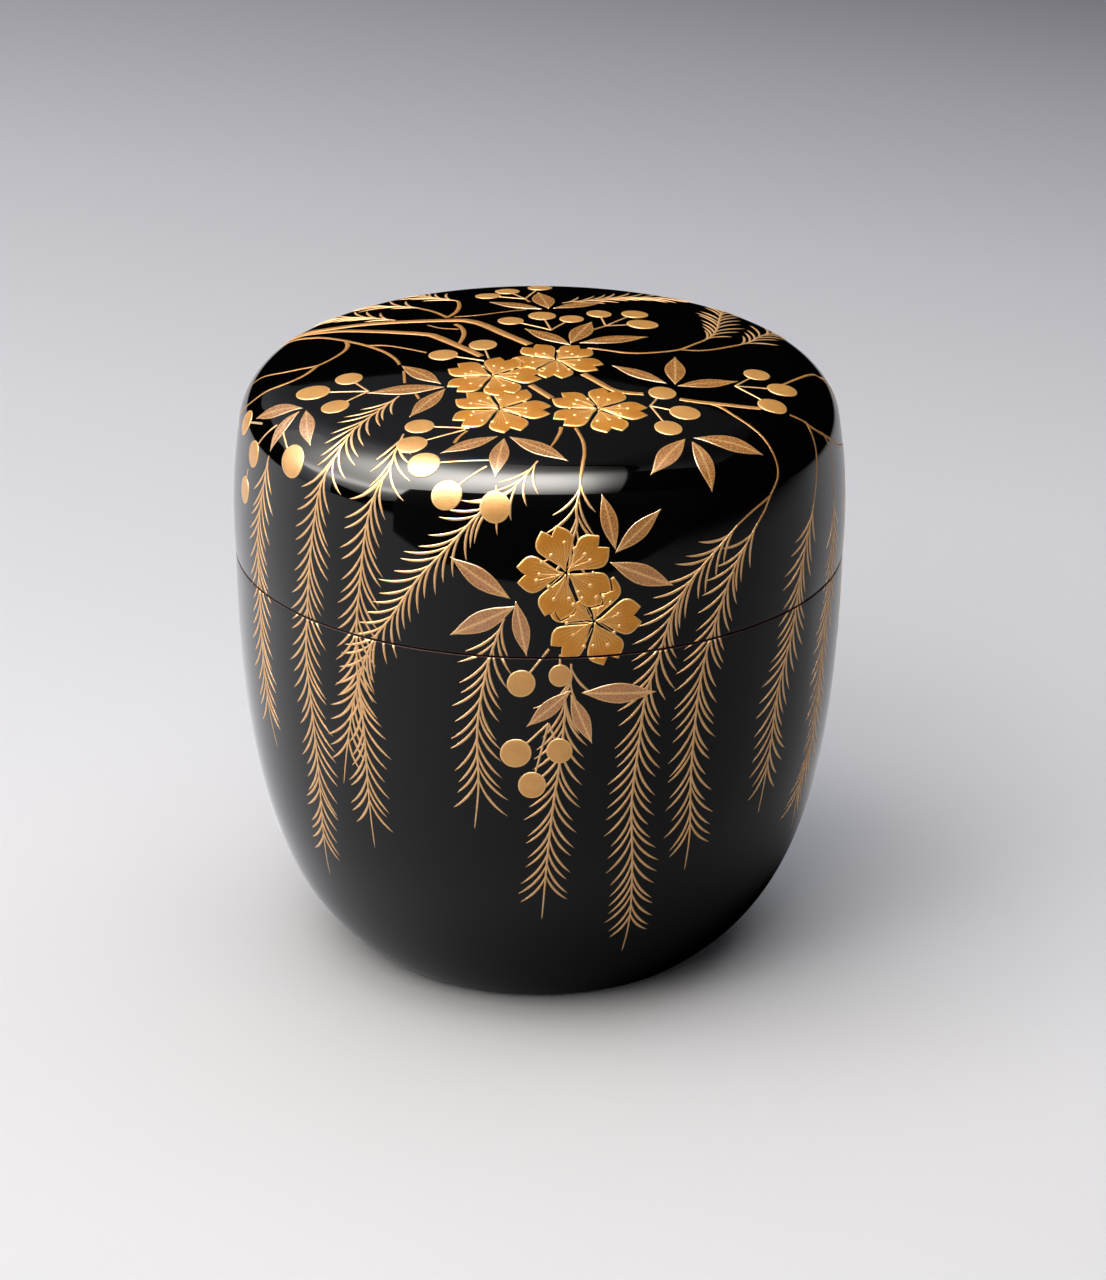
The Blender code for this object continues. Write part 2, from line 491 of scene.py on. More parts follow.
def gold_powder(name, deep, bright, line, metallic, roughness, ior, marks=None):
    """Fine metal powder sprinkled into wet lacquer and sealed with more of it.

    Each grain catches the light its own way, so the gold looks soft and slightly speckled, and
    deeper in colour than a plated metal. It is part metal and part clear lacquer, so it is only
    partly metallic, and a raised IOR gives the mixture the shine of its grains. marks draws the
    paler lines that are brushed on a petal, a leaf or a bud.
    """
    material, tree, shader = new_material(name, bright, metallic, roughness, ior=ior)
    add = partial(add_node, tree)
    place = out(add("ShaderNodeTexCoord"), "Object")
    grain = add("ShaderNodeTexNoise", {"Vector": place, "Scale": per_metre(GRAIN_SHOWN), "Detail": 2.0})
    cloud = add(
        "ShaderNodeTexNoise", {"Vector": place, "Scale": per_metre(POWDER_DRIFT), "Detail": 3.0}
    )
    speckle = add("ShaderNodeMapRange", {"Value": grain, "From Min": 0.33, "From Max": 0.67})
    drift = add("ShaderNodeMapRange", {"Value": cloud, "From Min": 0.3, "From Max": 0.7})
    fine = add("ShaderNodeMath", {0: speckle, 1: GRAIN_SHARE}, operation="MULTIPLY")
    broad = add("ShaderNodeMath", {0: drift, 1: 1 - GRAIN_SHARE}, operation="MULTIPLY")
    blend = add("ShaderNodeMath", {0: fine, 1: broad}, operation="ADD")
    colour = add(
        "ShaderNodeMix", {"Factor": blend, "A": linear(deep), "B": linear(bright)}, data_type="RGBA"
    )
    if marks is not None:
        colour = add(
            "ShaderNodeMix",
            {"Factor": marks(tree), "A": out(colour, "Result"), "B": linear(line)},
            data_type="RGBA",
        )
    rough = add(
        "ShaderNodeMapRange",
        {"Value": speckle, "To Min": roughness * 0.85, "To Max": roughness * 1.2},
    )
    bump = add("ShaderNodeBump", {"Strength": 0.22, "Distance": GRAIN_RELIEF, "Height": speckle})
    tree.links.new(out(colour, "Result"), shader.inputs["Base Color"])
    tree.links.new(out(rough, "Result"), shader.inputs["Roughness"])
    tree.links.new(out(bump, "Normal"), shader.inputs["Normal"])
    return material


def rim_line(tree, start, end):
    """A line round the edge of a laid shape, from its own map: 0 in the middle and 1 at the edge."""
    add = partial(add_node, tree)
    rim = add("ShaderNodeUVMap", uv_map="rim")
    parts = add("ShaderNodeSeparateXYZ", {0: rim})
    return add(
        "ShaderNodeMapRange",
        {"Value": out(parts, "X"), "From Min": start, "From Max": end},
        interpolation_type="SMOOTHSTEP",
    )


# Veins: a petal's in radians round its foot, a leaf's as shares of its length
PETAL_VEIN_SPACING = 0.06
PETAL_VEIN_EDGES = (0.028, 0.004)
LEAF_VEIN_SLANT = -1.6
LEAF_VEIN_SPACING = 0.03
MIDRIB_EDGES = (0.026, 0.008)


def petal_marks(tree):
    """Fine veins that fan out from a petal's foot, and a paler edge."""
    add = partial(add_node, tree)
    plan = add("ShaderNodeUVMap", uv_map="plan")
    parts = add("ShaderNodeSeparateXYZ", {0: plan})
    turn = add("ShaderNodeMath", {0: out(parts, "Y"), 1: out(parts, "X")}, operation="ARCTAN2")
    shifted = add("ShaderNodeMath", {0: turn, 1: 1.0}, operation="ADD")
    fan = add("ShaderNodeMath", {0: shifted, 1: PETAL_VEIN_SPACING}, operation="PINGPONG")
    vein = add(
        "ShaderNodeMapRange",
        {"Value": fan, "From Min": PETAL_VEIN_EDGES[0], "From Max": PETAL_VEIN_EDGES[1]},
        interpolation_type="SMOOTHSTEP",
    )
    fade = add(
        "ShaderNodeMapRange",
        {"Value": out(parts, "X"), "From Min": 0.80, "From Max": 0.30, "To Max": 0.85},
        interpolation_type="SMOOTHSTEP",
    )
    faded = add("ShaderNodeMath", {0: vein, 1: fade}, operation="MULTIPLY")
    edge = rim_line(tree, 0.88, 0.97)
    return add("ShaderNodeMath", {0: faded, 1: edge}, operation="MAXIMUM")


def leaf_marks(tree):
    """A midrib down the leaf, faint side veins and a paler edge."""
    add = partial(add_node, tree)
    plan = add("ShaderNodeUVMap", uv_map="plan")
    parts = add("ShaderNodeSeparateXYZ", {0: plan})
    off_middle = add("ShaderNodeMath", {0: out(parts, "Y")}, operation="ABSOLUTE")
    midrib = add(
        "ShaderNodeMapRange",
        {"Value": off_middle, "From Min": MIDRIB_EDGES[0], "From Max": MIDRIB_EDGES[1]},
        interpolation_type="SMOOTHSTEP",
    )
    slanted = add(
        "ShaderNodeMath",
        {0: off_middle, 1: LEAF_VEIN_SLANT, 2: out(parts, "X")},
        operation="MULTIPLY_ADD",
    )
    fan = add("ShaderNodeMath", {0: slanted, 1: LEAF_VEIN_SPACING}, operation="PINGPONG")
    vein = add(
        "ShaderNodeMapRange",
        {"Value": fan, "From Min": 0.02, "From Max": 0.0, "To Max": 0.18},
        interpolation_type="SMOOTHSTEP",
    )
    edge = rim_line(tree, 0.84, 0.96)
    lines = add("ShaderNodeMath", {0: midrib, 1: edge}, operation="MAXIMUM")
    return add("ShaderNodeMath", {0: lines, 1: vein}, operation="MAXIMUM")


def bud_marks(tree):
    """A paler edge round a bud."""
    return rim_line(tree, 0.84, 0.95)


# Hand-polished black urushi: near black, and a mirror for the softbox, the paper and the wall
BLACK = polished_urushi("polished black urushi", "#030303", 0.045)
# Fine gold powder in thin raised brush lines: pale, warm and softly glinting
WILLOW_GOLD = gold_powder(
    "fine gold powder, sealed", "#dba562", "#f3c186", "#ecbb7c", 0.48, 0.38, 2.2
)
# The same powder laid thin and flat: the branches look darker and duller than the willow
BRANCH_GOLD = gold_powder(
    "gold powder on flat branches", "#a8722f", "#be863f", "#e2b070", 0.30, 0.42, 1.7
)
# Thick powder over a built-up ground: the deepest yellow, with paler veins and edges
BLOSSOM_GOLD = gold_powder(
    "thick gold powder on a raised ground", "#d0811c", "#e59930", "#f7c87c", 0.40, 0.34, 1.7,
    marks=petal_marks,
)
# Powder on domed buds: a mellow gold that brightens under the softbox
BUD_GOLD = gold_powder(
    "gold powder on raised buds", "#c98b34", "#dea149", "#e8b569", 0.20, 0.36, 2.1,
    marks=bud_marks,
)
# The finest, palest powder, on the stamens: threads and heads that stand out from the petals
STAMEN_GOLD = gold_powder(
    "fine pale gold powder on stamens", "#dca45a", "#eebd78", "#eebd78", 0.30, 0.42, 1.8
)
# Gold with copper, thinly sprinkled: a dusky rose brown under pale veins
LEAF_GOLD = gold_powder(
    "thin rose gold powder", "#ab6b27", "#c07f37", "#e4ab61", 0.08, 0.26, 2.4,
    marks=leaf_marks,
)


# Node trees


def turning_tree():
    """Turns a profile, given as loose points from axis to axis, into a closed shell."""
    tree, given = geometry_tree(
        "Turned shell", {"Turns": "Int", "Merge Distance": "Float", "Finish": "Material"}
    )
    add = partial(add_node, tree)
    size = add("GeometryNodeAttributeDomainSize", {0: out(given, "Geometry")})
    count = out(size, "Point Count")
    columns = add("FunctionNodeIntegerMath", {0: out(given, "Turns"), 1: 1}, operation="ADD")
    grid = add("GeometryNodeMeshGrid", {"Vertices X": count, "Vertices Y": columns})
    index = add("GeometryNodeInputIndex")
    row = add("FunctionNodeIntegerMath", {0: index, 1: columns}, operation="DIVIDE_FLOOR")
    column = add("FunctionNodeIntegerMath", {0: index, 1: columns}, operation="MODULO")
    place = add("GeometryNodeInputPosition")
    profile = add(
        "GeometryNodeSampleIndex",
        {"Geometry": out(given, "Geometry"), "Value": place, "Index": row},
        data_type="FLOAT_VECTOR",
    )
    share = add("ShaderNodeMath", {0: column, 1: out(given, "Turns")}, operation="DIVIDE")
    angle = add("ShaderNodeMath", {0: share, 1: 2 * math.pi}, operation="MULTIPLY")
    turned = add("ShaderNodeVectorRotate", {"Vector": profile, "Angle": angle}, rotation_type="Z_AXIS")
    placed = add("GeometryNodeSetPosition", {"Geometry": out(grid, "Mesh"), "Position": turned})
    merged = add(
        "GeometryNodeMergeByDistance",
        {"Geometry": placed, "Distance": out(given, "Merge Distance")},
    )
    smooth = add("GeometryNodeSetShadeSmooth", {"Geometry": merged})
    return end_tree(tree, given, smooth)


def skin_samples(tree, skin):
    """The nearest place on the skin, and the way out of it there."""
    add = partial(add_node, tree)
    info = add("GeometryNodeObjectInfo", {"Object": skin})
    position = add("GeometryNodeInputPosition")
    normal = add("GeometryNodeInputNormal")
    near, way = [
        add(
            "GeometryNodeSampleNearestSurface",
            {"Mesh": out(info, "Geometry"), "Value": value},
            data_type="FLOAT_VECTOR",
        )
        for value in (position, normal)
    ]
    return near, way


# The two directions of a raised line's section, in the plane of its profile curve
SECTION_UP = "X"
SECTION_ACROSS = "Y"
SECTION_POINTS = 6
# How far the section goes down into the lacquer, as a share of its half width
SECTION_SUNK = -0.35


def raised_line_tree():
    """Lays curves on the skin with a low rounded section, flat below, as broad as "breadth" says."""
    tree, given = geometry_tree(
        "Raised line",
        {"Skin": "Object", "Flatness": "Float", "Lift": "Float", "Finish": "Material"},
    )
    add = partial(add_node, tree)
    near, way = skin_samples(tree, out(given, "Skin"))
    breadth = add("GeometryNodeInputNamedAttribute", {"Name": "breadth"})
    offset = add("ShaderNodeVectorMath", {0: way, "Scale": out(given, "Lift")}, operation="SCALE")
    lifted = add("ShaderNodeVectorMath", {0: near, 1: offset}, operation="ADD")
    laid = add("GeometryNodeSetPosition", {"Geometry": out(given, "Geometry"), "Position": lifted})
    faced = add("GeometryNodeSetCurveNormal", {"Curve": laid, "Normal": way}, mode="FREE")
    circle = add(
        "GeometryNodeCurvePrimitiveCircle",
        {"Resolution": SECTION_POINTS, "Radius": 1.0},
        mode="RADIUS",
    )
    parts = add("ShaderNodeSeparateXYZ", {0: add("GeometryNodeInputPosition")})
    height = add("ShaderNodeMath", {0: out(parts, SECTION_UP), 1: SECTION_SUNK}, operation="MAXIMUM")
    flat = add("ShaderNodeMath", {0: height, 1: out(given, "Flatness")}, operation="MULTIPLY")
    section_place = add(
        "ShaderNodeCombineXYZ", {SECTION_UP: flat, SECTION_ACROSS: out(parts, SECTION_ACROSS)}
    )
    section = add("GeometryNodeSetPosition", {"Geometry": circle, "Position": section_place})
    solid = add(
        "GeometryNodeCurveToMesh",
        {"Curve": faced, "Profile Curve": section, "Scale": out(breadth, "Attribute"),
         "Fill Caps": True},
    )
    smooth = add("GeometryNodeSetShadeSmooth", {"Geometry": solid})
    return end_tree(tree, given, smooth)


LINE_SPACING = 0.0005


def smooth_curve(tree, geometry, spacing):
    """A chain of edges as a smooth curve through its points, with points at a spacing."""
    add = partial(add_node, tree)
    chain = add("GeometryNodeMeshToCurve", {"Mesh": geometry})
    eased = add("GeometryNodeCurveSplineType", {"Curve": chain}, spline_type="CATMULL_ROM")
    return add("GeometryNodeResampleCurve", {"Curve": eased, "Length": spacing}, mode="LENGTH")


def brushed_lines_tree(raised_line):
    """Turns each chain of edges into one raised line, as broad as its "breadth" says."""
    tree, given = geometry_tree(
        "Brushed lines",
        {"Skin": "Object", "Spacing": "Float", "Flatness": "Float", "Lift": "Float",
         "Finish": "Material"},
    )
    add = partial(add_node, tree)
    curve = smooth_curve(tree, out(given, "Geometry"), out(given, "Spacing"))
    lines = add("GeometryNodeGroup", node_tree=raised_line)
    tree.links.new(out(curve, 0), lines.inputs["Geometry"])
    for name in ("Skin", "Flatness", "Lift", "Finish"):
        tree.links.new(out(given, name), lines.inputs[name])
    return end_tree(tree, given, lines)


def set_curve(node, points):
    """Gives a Float Curve node its points."""
    curve = node.mapping.curves[0]
    while len(curve.points) < len(points):
        curve.points.new(0.5, 0.5)
    for point, place in zip(curve.points, points):
        point.location = place
    node.mapping.update()


# A willow leaf 1 long: it leaves along the stem, then bows out to the left of it
LEAF_MIDDLE = (0.50, 0.10, 0)
LEAF_TIP = (0.85, 0.53, 0)
LEAF_POINTS = 7
LEAF_TAPER = [(0, 0.35), (0.25, 0.75), (0.55, 1.0), (0.8, 0.72), (1, 0.05)]
STEM_TAPER = [(0, 0.85), (0.3, 1.0), (0.85, 0.75), (1, 0.08)]
LEAF_REACH = [(0, 0.7), (0.08, 0.95), (0.75, 1.0), (0.9, 0.86), (1, 0.6)]
# Each side's leaves: which way they lean off the stem, and how far down it they start, in metres
SIDES = ((1, 0.0004), (-1, 0.0011))
PAST_THE_END = 1000.0
LEAF_SWAY = 0.09
LEAF_LUCK = (0.86, 1.08)
LUCK_SEED = 17


def willow_tree(raised_line):
    """Hanging fronds: narrow leaves spring from both sides of each stem, down to its bare tip."""
    tree, given = geometry_tree(
        "Willow fronds",
        {
            "Skin": "Object",
            "Leaf Spacing": "Float",
            "Bare Tip": "Float",
            "Leaf Length": "Float",
            "Leaf Breadth": "Float",
            "Stem Breadth": "Float",
            "Flatness": "Float",
            "Seed": "Int",
            "Finish": "Material",
        },
    )
    add = partial(add_node, tree)
    stem = smooth_curve(tree, out(given, "Geometry"), LINE_SPACING)
    near, _ = skin_samples(tree, out(given, "Skin"))
    laid = add("GeometryNodeSetPosition", {"Geometry": stem, "Position": near})
    along = add("GeometryNodeSplineParameter")
    marked = add(
        "GeometryNodeStoreNamedAttribute",
        {"Geometry": laid, "Name": "along", "Value": out(along, "Factor")},
    )
    whole_length = add("GeometryNodeSplineLength")
    left_to_go = add(
        "ShaderNodeMath",
        {0: out(whole_length, "Length"), 1: out(along, "Length")},
        operation="SUBTRACT",
    )
    marked = add(
        "GeometryNodeStoreNamedAttribute",
        {"Geometry": marked, "Name": "left to go", "Value": left_to_go},
    )

    leaf = add(
        "GeometryNodeCurveQuadraticBezier",
        {"Resolution": LEAF_POINTS, "Start": (0, 0, 0), "Middle": LEAF_MIDDLE, "End": LEAF_TIP},
    )
    leaf_taper = add(
        "ShaderNodeFloatCurve", {"Value": out(add("GeometryNodeSplineParameter"), "Factor")}
    )
    set_curve(leaf_taper, LEAF_TAPER)
    leaf_breadth = add(
        "ShaderNodeMath", {0: leaf_taper, 1: out(given, "Leaf Breadth")}, operation="MULTIPLY"
    )

    leaves = []
    for side, first_leaf in SIDES:
        start = add(
            "GeometryNodeTrimCurve",
            {"Curve": marked, "Start": first_leaf, "End": PAST_THE_END},
            mode="LENGTH",
        )
        points = add(
            "GeometryNodeCurveToPoints",
            {"Curve": start, "Length": out(given, "Leaf Spacing")},
            mode="LENGTH",
        )
        _, way = skin_samples(tree, out(given, "Skin"))
        facing = add(
            "FunctionNodeAxesToRotation",
            {"Primary Axis": way, "Secondary Axis": out(points, "Tangent")},
            primary_axis="Z",
            secondary_axis="X",
        )
        sway = add(
            "FunctionNodeRandomValue",
            {"Min": -LEAF_SWAY, "Max": LEAF_SWAY, "Seed": out(given, "Seed")},
            data_type="FLOAT",
        )
        swing = add("FunctionNodeAxisAngleToRotation", {"Axis": (0, 0, 1), "Angle": sway})
        turned = add(
            "FunctionNodeRotateRotation",
            {"Rotation": facing, "Rotate By": swing},
            rotation_space="LOCAL",
        )
        seed = add(
            "FunctionNodeIntegerMath",
            {0: out(given, "Seed"), 1: LUCK_SEED + side},
            operation="ADD",
        )
        luck = add(
            "FunctionNodeRandomValue",
            {"Min": LEAF_LUCK[0], "Max": LEAF_LUCK[1], "Seed": seed},
            data_type="FLOAT",
        )
        reach = add(
            "ShaderNodeFloatCurve",
            {"Value": add("GeometryNodeInputNamedAttribute", {"Name": "along"})},
        )
        set_curve(reach, LEAF_REACH)
        growth = add("ShaderNodeMath", {0: luck, 1: reach}, operation="MULTIPLY")
        length = add("ShaderNodeMath", {0: growth, 1: out(given, "Leaf Length")}, operation="MULTIPLY")
        mirrored = add("ShaderNodeMath", {0: length, 1: float(side)}, operation="MULTIPLY")
        scale = add("ShaderNodeCombineXYZ", {"X": length, "Y": mirrored, "Z": length})
        not_tip = add(
            "FunctionNodeCompare",
            {"A": add("GeometryNodeInputNamedAttribute", {"Name": "left to go"}),
             "B": out(given, "Bare Tip")},
            data_type="FLOAT",
            operation="GREATER_THAN",
        )
        leaves.append(
            add(
                "GeometryNodeInstanceOnPoints",
                {"Points": out(points, "Points"), "Selection": not_tip, "Instance": leaf,
                 "Rotation": turned, "Scale": scale},
            )
        )
    both = add("GeometryNodeJoinGeometry")
    for one_side in leaves:
        tree.links.new(out(one_side, 0), both.inputs[0])
    grown = add("GeometryNodeRealizeInstances", {"Geometry": both})
    leaf_curves = add(
        "GeometryNodeStoreNamedAttribute",
        {"Geometry": grown, "Name": "breadth", "Value": leaf_breadth},
    )
    stem_taper = add(
        "ShaderNodeFloatCurve", {"Value": out(add("GeometryNodeSplineParameter"), "Factor")}
    )
    set_curve(stem_taper, STEM_TAPER)
    stem_breadth = add(
        "ShaderNodeMath", {0: stem_taper, 1: out(given, "Stem Breadth")}, operation="MULTIPLY"
    )
    stem_curves = add(
        "GeometryNodeStoreNamedAttribute",
        {"Geometry": marked, "Name": "breadth", "Value": stem_breadth},
    )
    whole = add("GeometryNodeJoinGeometry")
    tree.links.new(out(leaf_curves, 0), whole.inputs[0])
    tree.links.new(out(stem_curves, 0), whole.inputs[0])
    lines = add("GeometryNodeGroup", node_tree=raised_line)
    tree.links.new(out(whole, 0), lines.inputs["Geometry"])
    for name in ("Skin", "Flatness", "Finish"):
        tree.links.new(out(given, name), lines.inputs[name])
    return end_tree(tree, given, lines)


def laid_shapes_tree():
    """Puts one flat shape at every point, turned to its aim and sized, and moulds it over the skin."""
    tree, given = geometry_tree(
        "Laid shapes", {"Shape": "Object", "Skin": "Object", "Finish": "Material"}
    )
    add = partial(add_node, tree)
    shape = add("GeometryNodeObjectInfo", {"Object": out(given, "Shape")})
    aim = add("GeometryNodeInputNamedAttribute", {"Name": "aim"}, data_type="FLOAT_VECTOR")
    scale = add("GeometryNodeInputNamedAttribute", {"Name": "scale"}, data_type="FLOAT_VECTOR")
    _, way = skin_samples(tree, out(given, "Skin"))
    facing = add(
        "FunctionNodeAxesToRotation",
        {"Primary Axis": way, "Secondary Axis": out(aim, "Attribute")},
        primary_axis="Z",
        secondary_axis="X",
    )
    placed = add(
        "GeometryNodeInstanceOnPoints",
        {"Points": out(given, "Geometry"), "Instance": out(shape, "Geometry"), "Rotation": facing,
         "Scale": out(scale, "Attribute")},
    )
    real = add("GeometryNodeRealizeInstances", {"Geometry": placed})
    near, over = skin_samples(tree, out(given, "Skin"))
    rise = add("GeometryNodeInputNamedAttribute", {"Name": "rise"})
    lift = add("GeometryNodeInputNamedAttribute", {"Name": "lift"})
    height = add(
        "ShaderNodeMath", {0: out(rise, "Attribute"), 1: out(lift, "Attribute")}, operation="ADD"
    )
    offset = add("ShaderNodeVectorMath", {0: over, "Scale": height}, operation="SCALE")
    moulded = add("ShaderNodeVectorMath", {0: near, 1: offset}, operation="ADD")
    laid = add("GeometryNodeSetPosition", {"Geometry": real, "Position": moulded})
    return end_tree(tree, given, laid)


TURNING = turning_tree()
RAISED_LINE = raised_line_tree()
BRUSHED_LINES = brushed_lines_tree(RAISED_LINE)
WILLOW = willow_tree(RAISED_LINE)
LAID_SHAPES = laid_shapes_tree()


# The turned lacquer


def turned_shell(name, profile, finish):
    points = mesh_object(f"{name} profile", [(r, 0, z) for r, z in profile])
    return made_by(TURNING, name, points, turns=TURNS, merge_distance=MERGE, finish=finish)


def faces_outwards(item):
    """Turns the faces round where a shell came out inside out.

    The skin is open at its foot, but the opening is level with the origin, so its volume counts right.
    """
    shape = bmesh.new()
    shape.from_mesh(item.data)
    if shape.calc_volume(signed=True) < 0:
        bmesh.ops.reverse_faces(shape, faces=shape.faces)
    shape.to_mesh(item.data)
    shape.free()
    return item


lid_shell = faces_outwards(turned_shell("lid_lacquer", lid_profile(), BLACK))
body_shell = faces_outwards(turned_shell("body_lacquer", body_profile(), BLACK))
skin = faces_outwards(turned_shell("skin", SKIN, BLACK))


# Gold
SUNK = 0.00004
DOT_SUNK = 0.00006


def chains(name, strokes):
    """Loose chains of edges, one for each stroke of (places, breadths in millimetres)."""
    vertices, edges, breadths = [], [], []
    for places, widths in strokes:
        first = len(vertices)
        share = np.linspace(0, 1, len(places))
        given = np.linspace(0, 1, len(widths))
        vertices += places
        breadths += [float(w) * MM / 2 for w in np.interp(share, given, widths)]
        edges += [(first + i, first + i + 1) for i in range(len(places) - 1)]
    made = mesh_object(name, vertices, edges)
    attribute = made.data.attributes.new("breadth", "FLOAT", "POINT")
    attribute.data.foreach_set("value", breadths)
    return made


def brushed(name, strokes, finish, flatness=0.35, lift=0.0):
    return made_by(
        BRUSHED_LINES, name, chains(f"{name} chains", strokes), skin=skin, spacing=LINE_SPACING,
        flatness=flatness, lift=lift, finish=finish,
    )


def plaque(name, outline, rings, sunk=SUNK):
    """A flat closed shape 1 long, for laying on the skin.

    outline runs anticlockwise. Each ring is (how far out, rise in metres), from the middle outwards.
    """
    outline = np.array(outline, float)
    centre = outline.mean(axis=0)
    count = len(outline)
    vertices, rises, rims = [(*centre, 0)], [rings[0][1]], [0.0]
    for reach, rise in rings[1:] + [(1.0, -sunk)]:
        ring = centre + reach * (outline - centre)
        vertices += [(x, y, 0) for x, y in ring]
        rises += [rise] * count
        rims += [reach] * count
    vertices.append((*centre, 0))
    rises.append(-sunk)
    rims.append(1.0)
    under = len(vertices) - 1
    turn = [(i, (i + 1) % count) for i in range(count)]
    faces = [(0, 1 + i, 1 + j) for i, j in turn]
    for ring in range(len(rings) - 1):
        inner, outer = 1 + ring * count, 1 + (ring + 1) * count
        faces += [(inner + i, outer + i, outer + j, inner + j) for i, j in turn]
    low = under - count
    faces += [(low + i, under, low + j) for i, j in turn]
    made = mesh_object(name, vertices, (), faces)
    mesh = made.data
    mesh.attributes.new("rise", "FLOAT", "POINT").data.foreach_set("value", rises)
    add_uv_map(mesh, "plan", [(x, y) for x, y, _ in vertices])
    add_uv_map(mesh, "rim", [(rim, 0) for rim in rims])
    mesh.shade_smooth()
    made.hide_render = True
    return made


def aimed(place, towards):
    """The direction along the skin from a place towards another."""
    out_of = outward(place)
    way = towards - place
    return (way - way.dot(out_of) * out_of).normalized()


def laid(name, shape, marks, finish):
    """Copies of a shape. Each mark is (place, aim, length, breadth, lift), the sizes in metres."""
    points = mesh_object(f"{name} points", [place for place, *_ in marks])
    attributes = points.data.attributes
    aims = [v for _, aim, *_ in marks for v in aim]
    scales = [v for _, _, length, breadth, _ in marks for v in (length, breadth, 1.0)]
    attributes.new("aim", "FLOAT_VECTOR", "POINT").data.foreach_set("vector", aims)
    attributes.new("scale", "FLOAT_VECTOR", "POINT").data.foreach_set("vector", scales)
    attributes.new("lift", "FLOAT", "POINT").data.foreach_set("value", [m[4] for m in marks])
    return made_by(LAID_SHAPES, name, points, shape=shape, skin=skin, finish=finish)


def eased_outline(points, steps):
    """A smooth closed outline through points, where a point given twice stays a corner."""
    result = []
    count = len(points)
    for i in range(count):
        p0, p1, p2, p3 = [np.array(points[(i + k) % count], float) for k in (-1, 0, 1, 2)]
        if np.allclose(p1, p2):
            continue
        if np.allclose(p0, p1):
            p0 = p1 - (p2 - p1) * 0.5
        if np.allclose(p2, p3):
            p3 = p2 + (p2 - p1) * 0.5
        for t in np.linspace(0, 1, steps, endpoint=False):
            a = 2 * p1
            b = (p2 - p0) * t
            c = (2 * p0 - 5 * p1 + 4 * p2 - p3) * t**2
            d = (-p0 + 3 * p1 - 3 * p2 + p3) * t**3
            result.append(0.5 * (a + b + c + d))
    return result


# A petal 1 long, with its foot near the flower's middle and a notch in its tip
PETAL_HALF = [
    (0.03, 0.0), (0.15, 0.055), (0.30, 0.165), (0.45, 0.280), (0.58, 0.365), (0.70, 0.400),
    (0.82, 0.365), (0.92, 0.280), (1.02, 0.170), (1.02, 0.170), (0.91, 0.055), (0.84, 0.0),
    (0.84, 0.0),
]
LEAF_HALF = [
    (0.0, 0.0), (0.0, 0.0), (0.12, 0.045), (0.28, 0.105), (0.45, 0.138), (0.60, 0.130),
    (0.76, 0.084), (0.90, 0.028), (1.0, 0.0), (1.0, 0.0),
]
BUD_HALF = [(0.5 - 0.5 * math.cos(a), 0.5 * math.sin(a)) for a in np.linspace(0, math.pi, 9)]


def shape_outline(half, steps, centre_x=0.0):
    """Both halves of an outline, anticlockwise, moved so that centre_x is at 0."""
    lower = [(x - centre_x, -y) for x, y in half]
    upper = [(x - centre_x, y) for x, y in half][::-1]
    whole = lower + [p for p in upper if not np.allclose(p, lower[-1]) or half[-1] == half[-2]]
    if half[0] != half[1]:
        whole = whole[:-1]
    return eased_outline(whole, steps)


PETAL_RINGS = [(0, 0.00011), (0.45, 0.00011), (0.75, 0.00010), (0.92, 0.00009), (1.0, 0.00005)]
LEAF_RINGS = [(0, 0.00008), (0.5, 0.000065), (0.84, 0.00004), (0.93, 0.00006), (1.0, 0.00003)]
BUD_RINGS = [(0, 0.00010), (0.5, 0.00009), (0.85, 0.00007), (0.94, 0.00006), (1.0, 0.00003)]
DOT_RINGS = [(0, 0.00007), (0.6, 0.00006), (1.0, 0.00001)]
CUTTER_HEIGHT = 0.0009
CUTTER_RINGS = [(0, CUTTER_HEIGHT), (0.5, CUTTER_HEIGHT), (1.0, CUTTER_HEIGHT)]
CUTTER_GROWTH = 1.04
PETALS = 5

petal_shape = plaque("petal shape", shape_outline(PETAL_HALF, 4), PETAL_RINGS)
leaf_shape = plaque("leaf shape", shape_outline(LEAF_HALF, 4, centre_x=0.5), LEAF_RINGS)
bud_shape = plaque("bud shape", shape_outline(BUD_HALF, 3, centre_x=0.5), BUD_RINGS)
dot_shape = plaque("dot shape", shape_outline(BUD_HALF, 1, centre_x=0.5), DOT_RINGS, sunk=DOT_SUNK)


def blossom_outline():
    """The outline round the petals, a little larger than they are, with the gaps between filled."""
    petal = shape_outline(PETAL_HALF, 4)
    turns = [math.atan2(y, x) for x, y in petal]
    broad = petal[turns.index(min(turns)) : turns.index(max(turns)) + 1]
    outline = []
    for number in range(PETALS):
        angle = math.radians(number * 360 / PETALS)
        cos, sin = math.cos(angle) * CUTTER_GROWTH, math.sin(angle) * CUTTER_GROWTH
        outline += [(x * cos - y * sin, x * sin + y * cos) for x, y in broad]
    return outline


blossom_cutter = plaque("blossom cutter", blossom_outline(), CUTTER_RINGS, sunk=CUTTER_HEIGHT)

